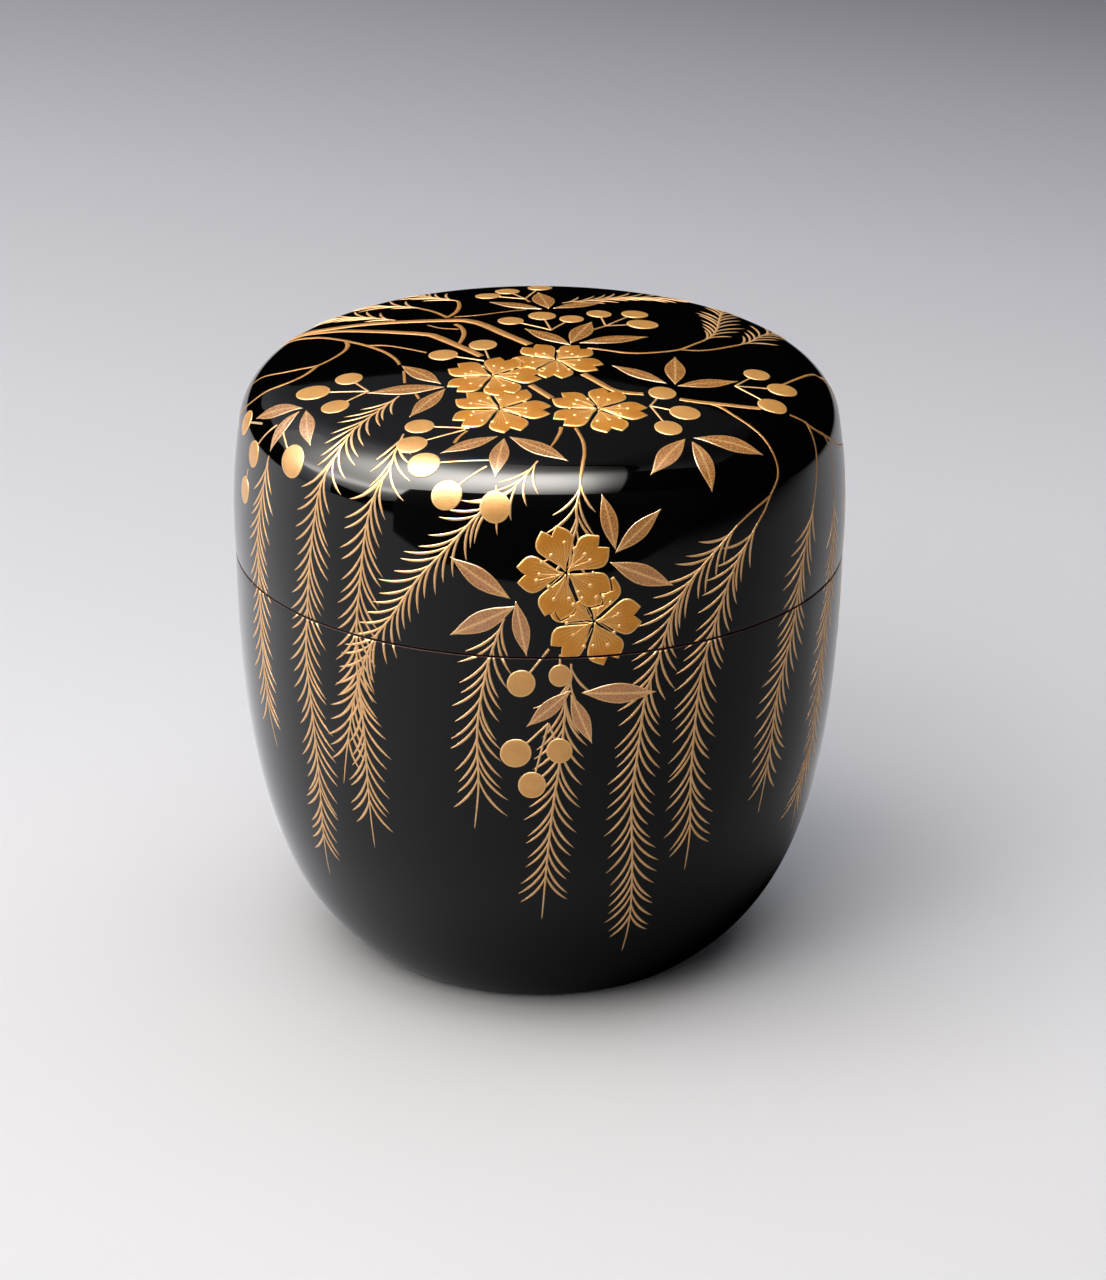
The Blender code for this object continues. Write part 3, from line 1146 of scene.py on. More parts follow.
# Willow fronds, each from where it comes into leaf down to its tip
FRONT_FRONDS = [
    [wall(-62, 61), wall(-63, 56.3), wall(-64, 52.4), wall(-64, 46.4), wall(-64, 39.8),
     wall(-63, 32.2), wall(-61, 27.8)],
    [top(-14.7, -12.4), top(-18.3, -17.7), top(-20.9, -22), wall(-45, 59.5), wall(-46, 53.9),
     wall(-47, 47.7), wall(-48, 41.4), wall(-47, 33.7), wall(-47, 25.8), wall(-50, 14.4)],
    [top(-14, -21.3), top(-15.2, -25.9), top(-16.5, -27), wall(-33, 58), wall(-34, 51.7),
     wall(-35, 46.2), wall(-35, 40.4), wall(-34, 34.5), wall(-34, 26.5), wall(-34, 20.7)],
    [top(-0.1, -27.8), top(-1.2, -29.4), top(-2.7, -30.7), top(-4.4, -31.3), wall(-11, 60.9),
     wall(-16, 57.5), wall(-22, 53.4), wall(-27, 49), wall(-32, 44.8), wall(-36, 38.1),
     wall(-40, 27.6)],
    [wall(-6, 50), wall(-9, 44.7), wall(-11, 37.7), wall(-11, 30.6), wall(-12, 25.4)],
    [wall(6, 44.9), wall(6, 43), wall(5, 41.4), wall(5, 39.5), wall(4, 33.2), wall(3, 28.7),
     wall(2, 22.4), wall(1, 14.1)],
    [top(4.3, -29.6), top(4.2, -30.7), wall(7, 61.7), wall(7, 59.9), wall(6, 57.9), wall(5, 52)],
    [wall(39, 57.4), wall(30, 53.5), wall(25, 49.6), wall(22, 44), wall(20, 40.8),
     wall(19, 35.6), wall(18, 28.4), wall(19, 20.7), wall(20, 13.3), wall(20, 8.4)],
    [wall(44, 56.9), wall(38, 52.9), wall(34, 47.5), wall(31, 40.9), wall(30, 31.3),
     wall(31, 22.9), wall(31, 18.5)],
    [wall(62, 56.1), wall(57, 50.2), wall(55, 43.7), wall(51, 36.9), wall(50, 30.1),
     wall(49, 22.6)],
    [wall(72, 54.5), wall(71, 45.4), wall(68, 37.4), wall(68, 28.2), wall(65, 21.9),
     wall(67, 17)],
]
TOP_FRONDS = [
    [top(-13.2, 16.6), top(-14.9, 18.2), top(-17.9, 19.7), top(-21, 21.8), wall(-136, 58),
     wall(-138, 49), wall(-139, 41), wall(-139, 33), wall(-140, 26)],
    [top(-9.1, 19.1), top(-10.6, 20.7), top(-12.3, 22.5), top(-14, 26), wall(-152, 58),
     wall(-153, 50), wall(-154, 43)],
    [top(-15.8, 12), top(-18.1, 14), top(-20.3, 15.4), top(-24.5, 17), wall(-124, 60),
     wall(-124, 51), wall(-125, 43), wall(-125, 36)],
    [top(2.4, 17.2), top(5.4, 19.2), top(8.8, 21.5), top(14.6, 23.7), wall(147, 60),
     wall(148, 52), wall(149, 43), wall(149, 35), wall(150, 29)],
    [top(17.6, 5.2), top(18.6, 7.4), top(19.3, 11), top(19.7, 15.6), top(20.5, 20.5),
     wall(134, 59), wall(135, 52), wall(136, 45)],
    [top(21.4, 5.3), top(22.7, 7.1), top(24.1, 10.3), top(26.5, 14), wall(117, 60),
     wall(116, 51), wall(115, 42), wall(115, 34), wall(116, 25)],
]
SIDE_FRONDS = [
    [top(29.5, 1.1), top(31.4, 2.5), wall(96, 58), wall(97, 50), wall(98, 42), wall(98, 33),
     wall(99, 27)],
    [wall(88, 57.5), wall(89, 51), wall(89, 44), wall(89, 38), wall(88, 33)],
    [wall(-90, 59), wall(-94, 55), wall(-96, 48), wall(-96, 40), wall(-95, 31), wall(-94, 25)],
    [wall(-102, 58), wall(-105, 52), wall(-106, 45), wall(-106, 38)],
]

# Stems: the places along each, and its width in millimetres at even steps
STEMS = [
    ([wall(-119, 12), wall(-115, 29), wall(-118, 42), wall(-113, 53), wall(-111, 60),
      top(-30, 11.4), top(-24, 11.6), top(-19, 11.6), top(-12.2, 10.6), top(-9.7, 10.2),
      top(-8.1, 9.8), top(-6.4, 8.2), top(-3.8, 4.2), top(-1.1, 0.6)],
     [1.2, 2.7, 2.8, 2.0, 1.2, 1.2, 1.2, 1.3, 1.2, 1.2]),
    ([top(-27, 10.9), top(-22.1, 10.2), top(-18, 8.3), top(-14.6, 6.6), top(-12.1, 5.3),
      top(-11.1, 4.2), top(-8.7, 0.7), top(-6.2, -2.8)], [0.8, 1.0, 1.1, 1.2, 0.9]),
    ([top(-29.5, 10.6), top(-25.5, 9.2), top(-23.7, 8.5), top(-21.6, 6.6), top(-19.9, 4.8),
      top(-18.3, 2.9), top(-16.6, 0.5), top(-15.4, -2), top(-14.9, -3.8)], [0.7, 0.5, 0.5, 0.4]),
    ([top(-18.7, 3.4), top(-16.6, 2.7), top(-14.5, 1.2), top(-12.1, -0.8)], [0.4, 0.3]),
    ([top(-20.9, 6), top(-20.7, 4), top(-21.1, 2.2), top(-22.3, 0.3), top(-23.7, -1.1),
      top(-25.6, -1.4), top(-27.8, -1.5), top(-29.8, -0.1), top(-31.4, 1.3), wall(-97, 60.5),
      wall(-102, 58)], [0.7, 0.4, 0.4, 0.3, 0.3]),
    ([top(-23.7, -1.1), top(-25, -3.5), top(-27, -5.1), top(-28.7, -5.1), top(-30.9, -4.2),
      wall(-90, 59)], [0.5, 0.4, 0.3]),
    ([top(-14.4, -5.8), top(-14.2, -9.1)], [0.35, 0.35]),
    ([top(-13, -12), top(-12.6, -13.5)], [0.35, 0.35]),
    ([top(-10.1, 11.5), top(-11.6, 14.4), top(-13.2, 16.5)], [0.5, 0.4]),
    ([top(-10.1, 11.5), top(-9.2, 13.7), top(-8.9, 16.5), top(-9.1, 19.1)], [0.5, 0.6, 0.4]),
    ([top(-9.4, 11.6), top(-6.6, 11.9), top(-4.2, 12.9), top(-1.5, 13.9)], [0.35, 0.25]),
    ([top(-12.2, 8.9), top(-10.8, 7.4), top(-8.8, 6.6)], [0.2, 0.3]),
    ([top(-9.2, 8.6), top(-8.6, 7.4), top(-8.2, 5.3), top(-8.3, 3.3), top(-8.7, 1.3)],
     [0.55, 0.6, 0.5]),
    ([top(4.6, -7.9), top(5.8, -9.4), top(7.1, -11.1), top(8.1, -12), top(9.5, -12.3),
      top(10.9, -12.3)], [1.0, 0.9, 0.8]),
    ([top(14.7, -12.8), top(16.8, -13), top(21.6, -12.8), top(23.2, -12.6)], [0.75, 0.85, 0.8]),
    ([top(-0.9, -11.1), top(0.1, -12.6), top(1.3, -14.3)], [0.9, 0.9]),
    ([top(3.8, -21), top(4.5, -23.5), top(4.7, -25.9), top(4.5, -28.2), top(4.3, -29.6)],
     [0.4, 0.45, 0.45]),
    ([top(2.3, -20.9), top(2.2, -21.9), top(1.7, -23.8), top(1.1, -25.3)], [0.5, 0.45, 0.2]),
    ([top(17.4, -12.9), top(18.9, -13.6), top(20.4, -15.3), top(22, -17.1), top(24.1, -18.9),
      wall(51, 61.1), wall(48, 59.3), wall(46, 57.9), wall(44, 56.9)], [0.6, 0.35, 0.3, 0.3]),
    ([wall(48, 59.3), wall(43, 58.4), wall(39, 57.4)], [0.3, 0.25]),
    ([top(5.1, -0.2), top(7, -0.6), top(9.1, -1.1), top(11.2, -0.8), top(13.4, 0.2),
      top(15, 1.3), top(16.1, 2.9), top(17.6, 5.2)], [0.5, 0.45, 0.4, 0.35]),
    ([top(15, 1.3), top(17.2, 1.7), top(19.1, 3), top(21.4, 5.3)], [0.35, 0.4]),
    ([top(25.8, -5.3), top(27.4, -2.8), top(28.7, -0.4), top(29.5, 1.1)], [0.35, 0.4]),
    ([top(26.3, -12.3), top(27.7, -11.9), top(29, -11.4), wall(73, 61.2), wall(79, 59.2),
      wall(88, 57.5)], [0.35, 0.35, 0.25]),
    ([top(28, -11.6), top(28.5, -12.2), wall(66, 62), wall(65, 60.4), wall(64, 58.5),
      wall(62, 56.1)], [0.35, 0.35]),
    ([top(29.8, -10.4), wall(72, 60.7), wall(73, 58.8), wall(73, 56.5), wall(72, 54.5)],
     [0.3, 0.3]),
    ([top(-7.4, -21.4), top(-8.2, -22.6), top(-8.7, -23.9)], [0.3, 0.45]),
    ([top(7.1, 7.8), top(5.6, 6)], [0.35, 0.45]),
    ([top(-1.7, 19.2), top(-1.2, 17.6)], [0.3, 0.4]),
]

# Leaves from foot to tip
LEAVES = [
    (top(-14.7, -4.3), top(-10.4, -10.1)),
    (top(-9.7, -10.7), top(-17.8, -10.6)),
    (top(-9.7, -11.2), top(-13.3, -17.4)),
    (top(-4.3, -23), top(-10.1, -25.9)),
    (top(-3.6, -23.4), top(-4.5, -30)),
    (top(-3, -23.4), top(3, -28.1)),
    (top(-24.8, -12.4), top(-30.1, -8.8)),
    (top(-24.9, -12.8), wall(-62, 61.2)),
    (top(-24.4, -13.1), top(-23.8, -19.2)),
    (top(3.3, 0.9), top(-1.6, 6.3)),
    (top(3.3, 1.2), top(5.6, 9.1)),
    (top(4.2, 1.3), top(11.5, 4.6)),
    (top(13.2, -9), top(7.5, -5.1)),
    (top(14.6, -9.2), top(14.7, -1.4)),
    (top(14.7, -9.5), top(21.1, -6.4)),
    (top(15.1, -21.8), top(11.5, -28.1)),
    (top(15.5, -21.8), wall(34, 61.2)),
    (top(16, -21.4), top(23.4, -20.4)),
    (wall(14, 57.2), top(6.4, -30.4)),
    (wall(14, 56.8), wall(23, 60.8)),
    (wall(13, 56), wall(25, 52.7)),
    (wall(-5, 52.3), wall(-16, 56.3)),
    (wall(-4, 51.6), wall(-16, 47.9)),
    (wall(-4, 51.8), wall(-2, 45.7)),
    (wall(8, 41.8), wall(22, 41.1)),
    (wall(6, 41.8), wall(-2, 37.7)),
    (wall(6, 41.8), wall(10, 36.1)),
    (top(0.1, 14.2), top(-5.6, 17.9)),
    (top(0.9, 14.2), top(-0.3, 22.6)),
    (top(1.5, 14.7), top(7, 18.5)),
]

# Buds: place, width in millimetres, and the place that its stalk grows from
BUDS = [
    (top(-6.1, 0.7), 3.2, top(-5.4, -3.6)),
    (top(-10.3, -1.9), 3.2, top(-5.9, -4.2)),
    (top(-20.2, -6.4), 3.1, top(-18, -10.4)),
    (top(-23.9, -8.9), 3.7, top(-18, -10.4)),
    (top(-21.4, -13.3), 3.1, top(-18, -10.4)),
    (top(-12.4, -19.9), 3.1, top(-7.2, -20.9)),
    (top(-13.1, -23.6), 3.3, top(-7.6, -21.2)),
    (top(-11.8, -26.9), 3.5, top(-5.1, -27.5)),
    (top(-9.4, -30), 3.4, top(-5.3, -28.3)),
    (wall(-8, 61.7), 3.4, top(-4.3, -30.3)),
    (wall(-54, 61.8), 3.8, top(-26.8, -14.9)),
    (wall(-69, 59.9), 3.0, top(-27.5, -13.1)),
    (wall(-72, 55.3), 3.0, wall(-71, 57.8)),
    (wall(-78, 61.6), 3.0, top(-29.2, -10.7)),
    (top(-3.2, 9.1), 2.9, top(1.2, 5.6)),
    (top(0.2, 11.1), 3.2, top(1.2, 5.6)),
    (top(3.4, 10), 2.8, top(1.2, 5.6)),
    (top(6.4, 12.6), 2.9, top(7.1, 7.8)),
    (top(10.3, 13.3), 3.1, top(7.1, 7.8)),
    (top(11.1, 9.3), 3.5, top(7.1, 7.8)),
    (top(12.9, -11.7), 3.1, top(11.6, -15.1)),
    (top(15.2, -16), 3.3, top(11.6, -15.1)),
    (top(13.4, -19.8), 3.1, top(11.6, -15.1)),
    (top(23.1, -3.6), 3.0, top(20.7, -7.7)),
    (top(25.7, -6.8), 3.3, top(20.7, -7.7)),
    (top(24.5, -11.5), 3.3, top(20.7, -7.7)),
    (wall(-3, 42.7), 3.1, wall(2, 46.6)),
    (wall(4, 43.6), 2.5, wall(4, 46)),
    (wall(-4, 34.7), 3.4, wall(2, 38.2)),
    (wall(4, 35), 2.9, wall(2, 38.2)),
    (wall(-1, 31), 3.1, wall(2, 38.2)),
    (top(-5.8, 21.2), 2.9, top(-1.7, 19.2)),
    (top(-3.7, 23.7), 2.9, top(-1.7, 19.2)),
    (top(-0.1, 25.9), 2.9, top(-1.7, 19.2)),
]

# Blossoms: place, radius in millimetres, and the turn of the first petal, clockwise from uphill
BLOSSOMS = {
    "over": [(top(-5, -8.6), 5.1, 18), (wall(5, 55), 5.0, -22)],
    "under": [(top(1.7, -4.2), 5.0, 38), (top(-4.1, -16.9), 5.2, 21), (top(6.1, -16.7), 5.1, 16),
              (wall(10, 49.6), 5.0, 11)],
}


# The top is where the skin faces up at least this much. Lower down, uphill leans back a little.
FACING_UP = 0.8
UPHILL_ON_TOP = (0, 1, 0)
UPHILL_ON_THE_SIDE = (0, 0.35, 1)


def uphill(place):
    """The way along the skin that looks upwards from the front."""
    out_of = outward(place)
    way = Vector(UPHILL_ON_THE_SIDE if out_of.z < FACING_UP else UPHILL_ON_TOP)
    return (way - way.dot(out_of) * out_of).normalized()


def clockwise(place, degrees):
    """The direction along the skin that is turned clockwise from uphill."""
    up = uphill(place)
    return Matrix.Rotation(-math.radians(degrees), 3, outward(place)) @ up


def petal_marks_at(blossoms):
    marks = []
    for place, radius, turn in blossoms:
        for petal in range(PETALS):
            aim = clockwise(place, turn + petal * 360 / PETALS)
            marks.append((place, aim, radius * MM, radius * MM, 0.0))
    return marks


def trimmed(item, cutter):
    """The item with the cutter's room taken out of it. Both are used up."""
    cut = item.modifiers.new("Room", "BOOLEAN")
    cut.operation = "DIFFERENCE"
    cut.solver = "EXACT"
    cut.object = cutter
    mesh = evaluated_mesh(item)
    discard(item)
    discard(cutter)
    return linked("trimmed", mesh)


# Stamens: sway in degrees, foot and reach in blossom radii, threads and heads in millimetres
STAMENS = 14
STAMEN_SEED = 7
STAMEN_SWAY = 7
STAMEN_FOOT = 0.10
STAMEN_REACH = (0.48, 0.64)
STAMEN_THREAD = [0.10, 0.07]
STAMEN_HEAD = (0.40, 0.50)
STAMEN_LIFT = 0.10 * MM


def stamens_of(blossoms):
    """The thread and the head of every stamen: threads as strokes, heads as marks."""
    chance = random.Random(STAMEN_SEED)
    threads, heads = [], []
    for place, radius, turn in blossoms:
        for number in range(STAMENS):
            sway = chance.uniform(-STAMEN_SWAY, STAMEN_SWAY)
            aim = clockwise(place, turn + (number + 0.5) * 360 / STAMENS + sway)
            reach = radius * MM * chance.uniform(*STAMEN_REACH)
            end = on_skin(place + reach * aim)
            start = on_skin(place + STAMEN_FOOT * radius * MM * aim)
            threads.append(([start, end], STAMEN_THREAD))
            size = chance.uniform(*STAMEN_HEAD) * MM
            heads.append((end, aim, size, size, STAMEN_LIFT))
    return threads, heads


# A leaf is a little longer than the straight way from its foot to its tip
LEAF_GROWTH = 1.02


def leaf_marks_at(leaves):
    marks = []
    for foot, tip in leaves:
        chord = tip - foot
        middle = (foot + tip) / 2
        settled = on_skin(middle)
        length = chord.length * LEAF_GROWTH
        marks.append((settled, aimed(settled, settled + chord), length, length, 0.0))
    return marks


def split_at_seam(item, name):
    """The gold above and below the seam as two closed pieces, clear of its polished edges."""
    pieces = []
    lid_cut = SEAM_HEIGHT + SEAM_SHOWN + GOLD_CLEAR_OF_SEAM
    body_cut = SEAM_HEIGHT - GOLD_CLEAR_OF_SEAM
    for part, height, above in (("lid", lid_cut, True), ("body", body_cut, False)):
        shape = bmesh.new()
        shape.from_mesh(item.data)
        bmesh.ops.bisect_plane(
            shape,
            geom=shape.verts[:] + shape.edges[:] + shape.faces[:],
            plane_co=(0, 0, height),
            plane_no=(0, 0, 1),
            clear_outer=not above,
            clear_inner=above,
        )
        cut = [edge for edge in shape.edges if edge.is_boundary]
        bmesh.ops.holes_fill(shape, edges=cut, sides=0)
        if shape.faces:
            mesh = bpy.data.meshes.new(f"{part}_{name}")
            shape.to_mesh(mesh)
            for material in item.data.materials:
                mesh.materials.append(material)
            pieces.append(linked(mesh.name, mesh))
        shape.free()
    discard(item)
    return pieces


# Willow leaves: their spacing and half breadth, and the stem's half breadth, in metres
WILLOW_LEAF_SPACING = 0.00150
WILLOW_LEAF_BREADTH = 0.000165
WILLOW_STEM_BREADTH = 0.00015
WILLOW_FLATNESS = 0.25


def fronds(name, spines, leaf_length, bare_tip, seed):
    strokes = [(places, [1, 1]) for places in spines]
    return made_by(
        WILLOW, name, chains(f"{name} spines", strokes), skin=skin,
        leaf_spacing=WILLOW_LEAF_SPACING, leaf_length=leaf_length,
        leaf_breadth=WILLOW_LEAF_BREADTH, stem_breadth=WILLOW_STEM_BREADTH,
        flatness=WILLOW_FLATNESS, bare_tip=bare_tip, seed=seed, finish=WILLOW_GOLD,
    )


BUD_STALK = [0.28, 0.22]
BUD_BREADTH = 0.94

front_willow = fronds("front willow", FRONT_FRONDS, leaf_length=0.0049, bare_tip=0.0060, seed=5)
top_willow = fronds("top willow", TOP_FRONDS, leaf_length=0.0044, bare_tip=0.0050, seed=9)
side_willow = fronds("side willow", SIDE_FRONDS, leaf_length=0.0049, bare_tip=0.0060, seed=11)
stems = brushed("stems", STEMS, BRANCH_GOLD, flatness=0.07)
bud_stalks = brushed(
    "bud stalks", [([start, place], BUD_STALK) for place, _, start in BUDS], WILLOW_GOLD
)
buds = laid(
    "buds",
    bud_shape,
    [(place, aimed(place, start), w * MM, w * MM * BUD_BREADTH, 0.0) for place, w, start in BUDS],
    BUD_GOLD,
)
leaves = laid("leaves", leaf_shape, leaf_marks_at(LEAVES), LEAF_GOLD)
over_petals = laid("over petals", petal_shape, petal_marks_at(BLOSSOMS["over"]), BLOSSOM_GOLD)
under_petals = laid("under petals", petal_shape, petal_marks_at(BLOSSOMS["under"]), BLOSSOM_GOLD)
room = laid(
    "room",
    blossom_cutter,
    [(p, clockwise(p, turn), r * MM, r * MM, 0.0) for p, r, turn in BLOSSOMS["over"]],
    BLOSSOM_GOLD,
)
under_petals = trimmed(under_petals, room)
over_threads, over_heads = stamens_of(BLOSSOMS["over"])
under_threads, under_heads = stamens_of(BLOSSOMS["under"])
threads = brushed("threads", over_threads + under_threads, STAMEN_GOLD, flatness=0.6, lift=STAMEN_LIFT)
heads = laid("heads", dot_shape, over_heads + under_heads, STAMEN_GOLD)

GOLD_PIECES = [
    (front_willow, "willow_fronds", "gold_powder"),
    (top_willow, "top_fronds", "gold_powder"),
    (side_willow, "side_fronds", "gold_powder"),
    (stems, "stems", "gold_powder"),
    (bud_stalks, "bud_stalks", "gold_powder"),
    (buds, "buds", "gold_powder"),
    (leaves, "leaves", "rose_gold_powder"),
    (over_petals, "upper_blossoms", "gold_powder"),
    (under_petals, "lower_blossoms", "gold_powder"),
    (threads, "stamen_threads", "gold_powder"),
    (heads, "stamen_heads", "gold_powder"),
]

for item, name, slot in GOLD_PIECES:
    for piece in split_at_seam(item, name):
        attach(piece, "root")

for shell, node in ((lid_shell, "lid"), (body_shell, "body")):
    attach(shell, "root")
    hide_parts(node)

for helper in (skin, petal_shape, leaf_shape, bud_shape, dot_shape, blossom_cutter):
    discard(helper)


# The studio
FLOOR_RADIUS = 1.6
BACKDROP_HEIGHT = 1.4
STAGE_STEPS = 96
CADDY_MIDDLE = Vector((0, 0, 0.055))

# Painted shade on the paper, darker from the front to the back, where less light falls on it, and sooner
# on the right
PAPER_SLANT = 0.36
PAPER_DEPTH = 0.42
PAPER_FRONT = "#e1e1e3"
PAPER_BACK = "#75767b"
PAPER_BETWEEN = [(0.35, "#d6d7db"), (0.6, "#c1c2c7"), (0.8, "#a2a3a8")]

# What the lacquer mirrors. Each list runs through (share of the way, strength).
POOL_GLOW = 23.0
POOL_ACROSS = [
    (0, 0.04), (0.08, 0.08), (0.2, 0.13), (0.375, 0.30), (0.46, 0.50), (0.54, 0.68), (0.625, 0.92),
    (0.71, 1.0), (0.79, 0.98), (0.875, 0.75), (0.96, 0.20), (1, 0.10),
]
POOL_ALONG = [
    (0, 0), (0.06, 0.02), (0.12, 0.08), (0.21, 0.27), (0.29, 0.50), (0.38, 0.74), (0.46, 0.90),
    (0.54, 1.0), (0.62, 0.95), (0.71, 0.72), (0.79, 0.35), (0.88, 0.13), (0.96, 0.07), (1, 0.06),
]
STRIP_GLOW = 10.5
STRIP_ACROSS = [
    (0, 0.10), (0.15, 0.16), (0.225, 0.25), (0.275, 0.60), (0.3125, 1.0), (0.35, 0.65),
    (0.40, 0.28), (0.45, 0.17), (0.60, 0.12), (1, 0.10),
]
STRIP_ALONG = [
    (0, 0.55), (0.1, 0.80), (0.2, 0.90), (0.3, 0.95), (0.4, 1.0), (0.47, 0.55), (0.53, 0), (1, 0),
]
# From the front through the left to the back, then through the right to the front again
PAPER_ROUND = [
    (0, 0.37), (0.05, 0.47), (0.117, 0.64), (0.183, 0.77), (0.25, 0.97), (0.317, 1.15), (0.36, 1.2),
    (0.41, 0.95), (0.47, 0.66), (0.53, 0.48), (0.60, 0.58), (0.65, 0.62), (0.70, 0.42), (0.75, 0.32),
    (0.80, 0.27), (0.88, 0.24), (0.93, 0.27), (1, 0.37),
]
# Where the mirrored paper darkens, towards the foot and far out: centre, start and end in metres
CONTACT_SHADE = ((0.009, 0.004, 0), 0.019, 0.050)
FAR_SHADE = ((-0.16, 0, 0), 0.54, 0.38)
PAPER_MIRRORED = 0.62
MIRRORED_HEIGHT = 0.00005
WALL_ROUND = [
    (0, 3.6), (0.074, 2.9), (0.138, 2.0), (0.202, 1.18), (0.266, 0.62), (0.33, 0.38), (0.394, 0.20),
    (0.457, 0.13), (0.52, 0.07), (0.6, 0.035), (0.7, 0.02), (0.85, 0.025), (0.93, 0.05), (1, 0.08),
]
WALL_UPWARDS = [
    (0, 0.22), (0.093, 0.35), (0.16, 0.5), (0.227, 0.75), (0.293, 0.9), (0.4, 1.0), (0.493, 1.4),
    (0.627, 2.0), (0.76, 3.0), (0.893, 4.5), (1, 5.0),
]
# The lit wall's reach and its lower edge: azimuths and elevations in degrees, left round to right
WALL_FROM, WALL_TO = -82, -270
WALL_LOW, WALL_HIGH = -5, 70
WALL_EDGE = [
    (-82, -5), (-105, -5), (-109, 10), (-118, 16), (-130, 18), (-138, 17), (-143, 11), (-150, 11),
    (-156, 18), (-170, 24), (-185, 28), (-200, 36), (-220, 44), (-270, 47),
]
WALL_DISTANCE = 1.0
WALL_COLUMNS = 95
WALL_ROWS = 12


def studio_paper():
    """Smooth pale studio paper: matt, with painted shade that makes it a little darker towards the back.
    """
    material, tree, shader = new_material("pale studio paper", "#e6e6e8", 0, 0.75)
    add = partial(add_node, tree)
    parts = add("ShaderNodeSeparateXYZ", {0: out(add("ShaderNodeTexCoord"), "Object")})
    slant = add(
        "ShaderNodeMath",
        {0: out(parts, "X"), 1: PAPER_SLANT, 2: out(parts, "Y")},
        operation="MULTIPLY_ADD",
    )
    depth = add("ShaderNodeMapRange", {"Value": slant, "From Min": 0.0, "From Max": PAPER_DEPTH})
    ramp = add("ShaderNodeValToRGB", {"Fac": depth})
    ramp.color_ramp.elements[0].color = linear(PAPER_FRONT)
    ramp.color_ramp.elements[1].color = linear(PAPER_BACK)
    for share, colour in PAPER_BETWEEN:
        ramp.color_ramp.elements.new(share).color = linear(colour)
    tree.links.new(out(ramp, "Color"), shader.inputs["Base Color"])
    return material


def stage_piece(name, vertices, faces, material):
    made = mesh_object(name, vertices, (), faces)
    made.data.materials.append(material)
    return made


def sheet_of(name, corners, material):
    """A flat piece of the stage with one face."""
    return stage_piece(name, corners, [tuple(range(len(corners)))], material)


def ring(radius, height):
    """Points round the caddy's axis."""
    turns = np.linspace(0, 2 * math.pi, STAGE_STEPS, endpoint=False)
    return [(radius * math.cos(a), radius * math.sin(a), height) for a in turns]


def mirrored_only(made):
    """Leaves a card to the reflections alone."""
    for light in ("camera", "diffuse", "shadow", "transmission"):
        setattr(made, f"visible_{light}", False)
    return made


def in_direction(azimuth, elevation, distance):
    """A point seen from the caddy at an azimuth right of the front and an elevation, in degrees."""
    a, e = math.radians(azimuth), math.radians(elevation)
    way = Vector((math.sin(a) * math.cos(e), -math.cos(a) * math.cos(e), math.sin(e)))
    return CADDY_MIDDLE + distance * way


def strength_along(tree, value, stops, times=1.0):
    """A strength that runs through the stops as a value goes from 0 to 1, times another strength."""
    add = partial(add_node, tree)
    curve = add("ShaderNodeFloatCurve", {"Value": value})
    highest = max(strength for _, strength in stops)
    set_curve(curve, [(share, strength / highest) for share, strength in stops])
    scaled = add("ShaderNodeMath", {0: curve, 1: highest}, operation="MULTIPLY")
    return add("ShaderNodeMath", {0: scaled, 1: times}, operation="MULTIPLY")


def card_places(tree):
    """The places across and along a card, from its own UV map."""
    card_map = add_node(tree, "ShaderNodeUVMap", uv_map="card")
    parts = add_node(tree, "ShaderNodeSeparateXYZ", {0: card_map})
    return out(parts, "X"), out(parts, "Y")


def glow_material(name, hex_colour, strength_of):
    """An evenly coloured glow, whose strength a function works out in its node tree."""
    material = bpy.data.materials.new(name)
    material.use_nodes = True
    tree = material.node_tree
    tree.nodes.clear()
    glow = add_node(
        tree, "ShaderNodeEmission", {"Color": linear(hex_colour), "Strength": strength_of(tree)}
    )
    add_node(tree, "ShaderNodeOutputMaterial", {"Surface": glow})
    return material


def softbox_strength(tree):
    """A wide pool of light overhead, and a strip that lies slantwise across its left half."""
    add = partial(add_node, tree)
    across, along = card_places(tree)
    pool_across = strength_along(tree, across, POOL_ACROSS, POOL_GLOW)
    pool = strength_along(tree, along, POOL_ALONG, pool_across)
    half = add("ShaderNodeMath", {0: across, 1: 0.5}, operation="MULTIPLY")
    slant = add("ShaderNodeMath", {0: along, 1: 0.5, 2: half}, operation="MULTIPLY_ADD")
    strip_across = strength_along(tree, slant, STRIP_ACROSS, STRIP_GLOW)
    strip = strength_along(tree, across, STRIP_ALONG, strip_across)
    return add("ShaderNodeMath", {0: pool, 1: strip}, operation="ADD")


def distance_ramp(tree, place, centre, start, end):
    """Goes from 0 to 1 as the distance from a centre goes from start to end."""
    add = partial(add_node, tree)
    aside = add("ShaderNodeVectorMath", {0: place, 1: centre}, operation="SUBTRACT")
    distance = add("ShaderNodeVectorMath", {0: aside}, operation="LENGTH")
    return add(
        "ShaderNodeMapRange",
        {"Value": out(distance, "Value"), "From Min": start, "From Max": end},
        interpolation_type="SMOOTHSTEP",
    )


def paper_strength(tree):
    """How bright the mirrored paper is: bright behind on the left, dim in front and on the right."""
    add = partial(add_node, tree)
    place = out(add("ShaderNodeTexCoord"), "Object")
    parts = add("ShaderNodeSeparateXYZ", {0: place})
    turn = add("ShaderNodeMath", {0: out(parts, "X"), 1: out(parts, "Y")}, operation="ARCTAN2")
    share = add("ShaderNodeMapRange", {"Value": turn, "From Min": -math.pi, "From Max": math.pi})
    contact = distance_ramp(tree, place, *CONTACT_SHADE)
    far = distance_ramp(tree, place, *FAR_SHADE)
    shade = add("ShaderNodeMath", {0: contact, 1: far}, operation="MULTIPLY")
    return strength_along(tree, share, PAPER_ROUND, shade)


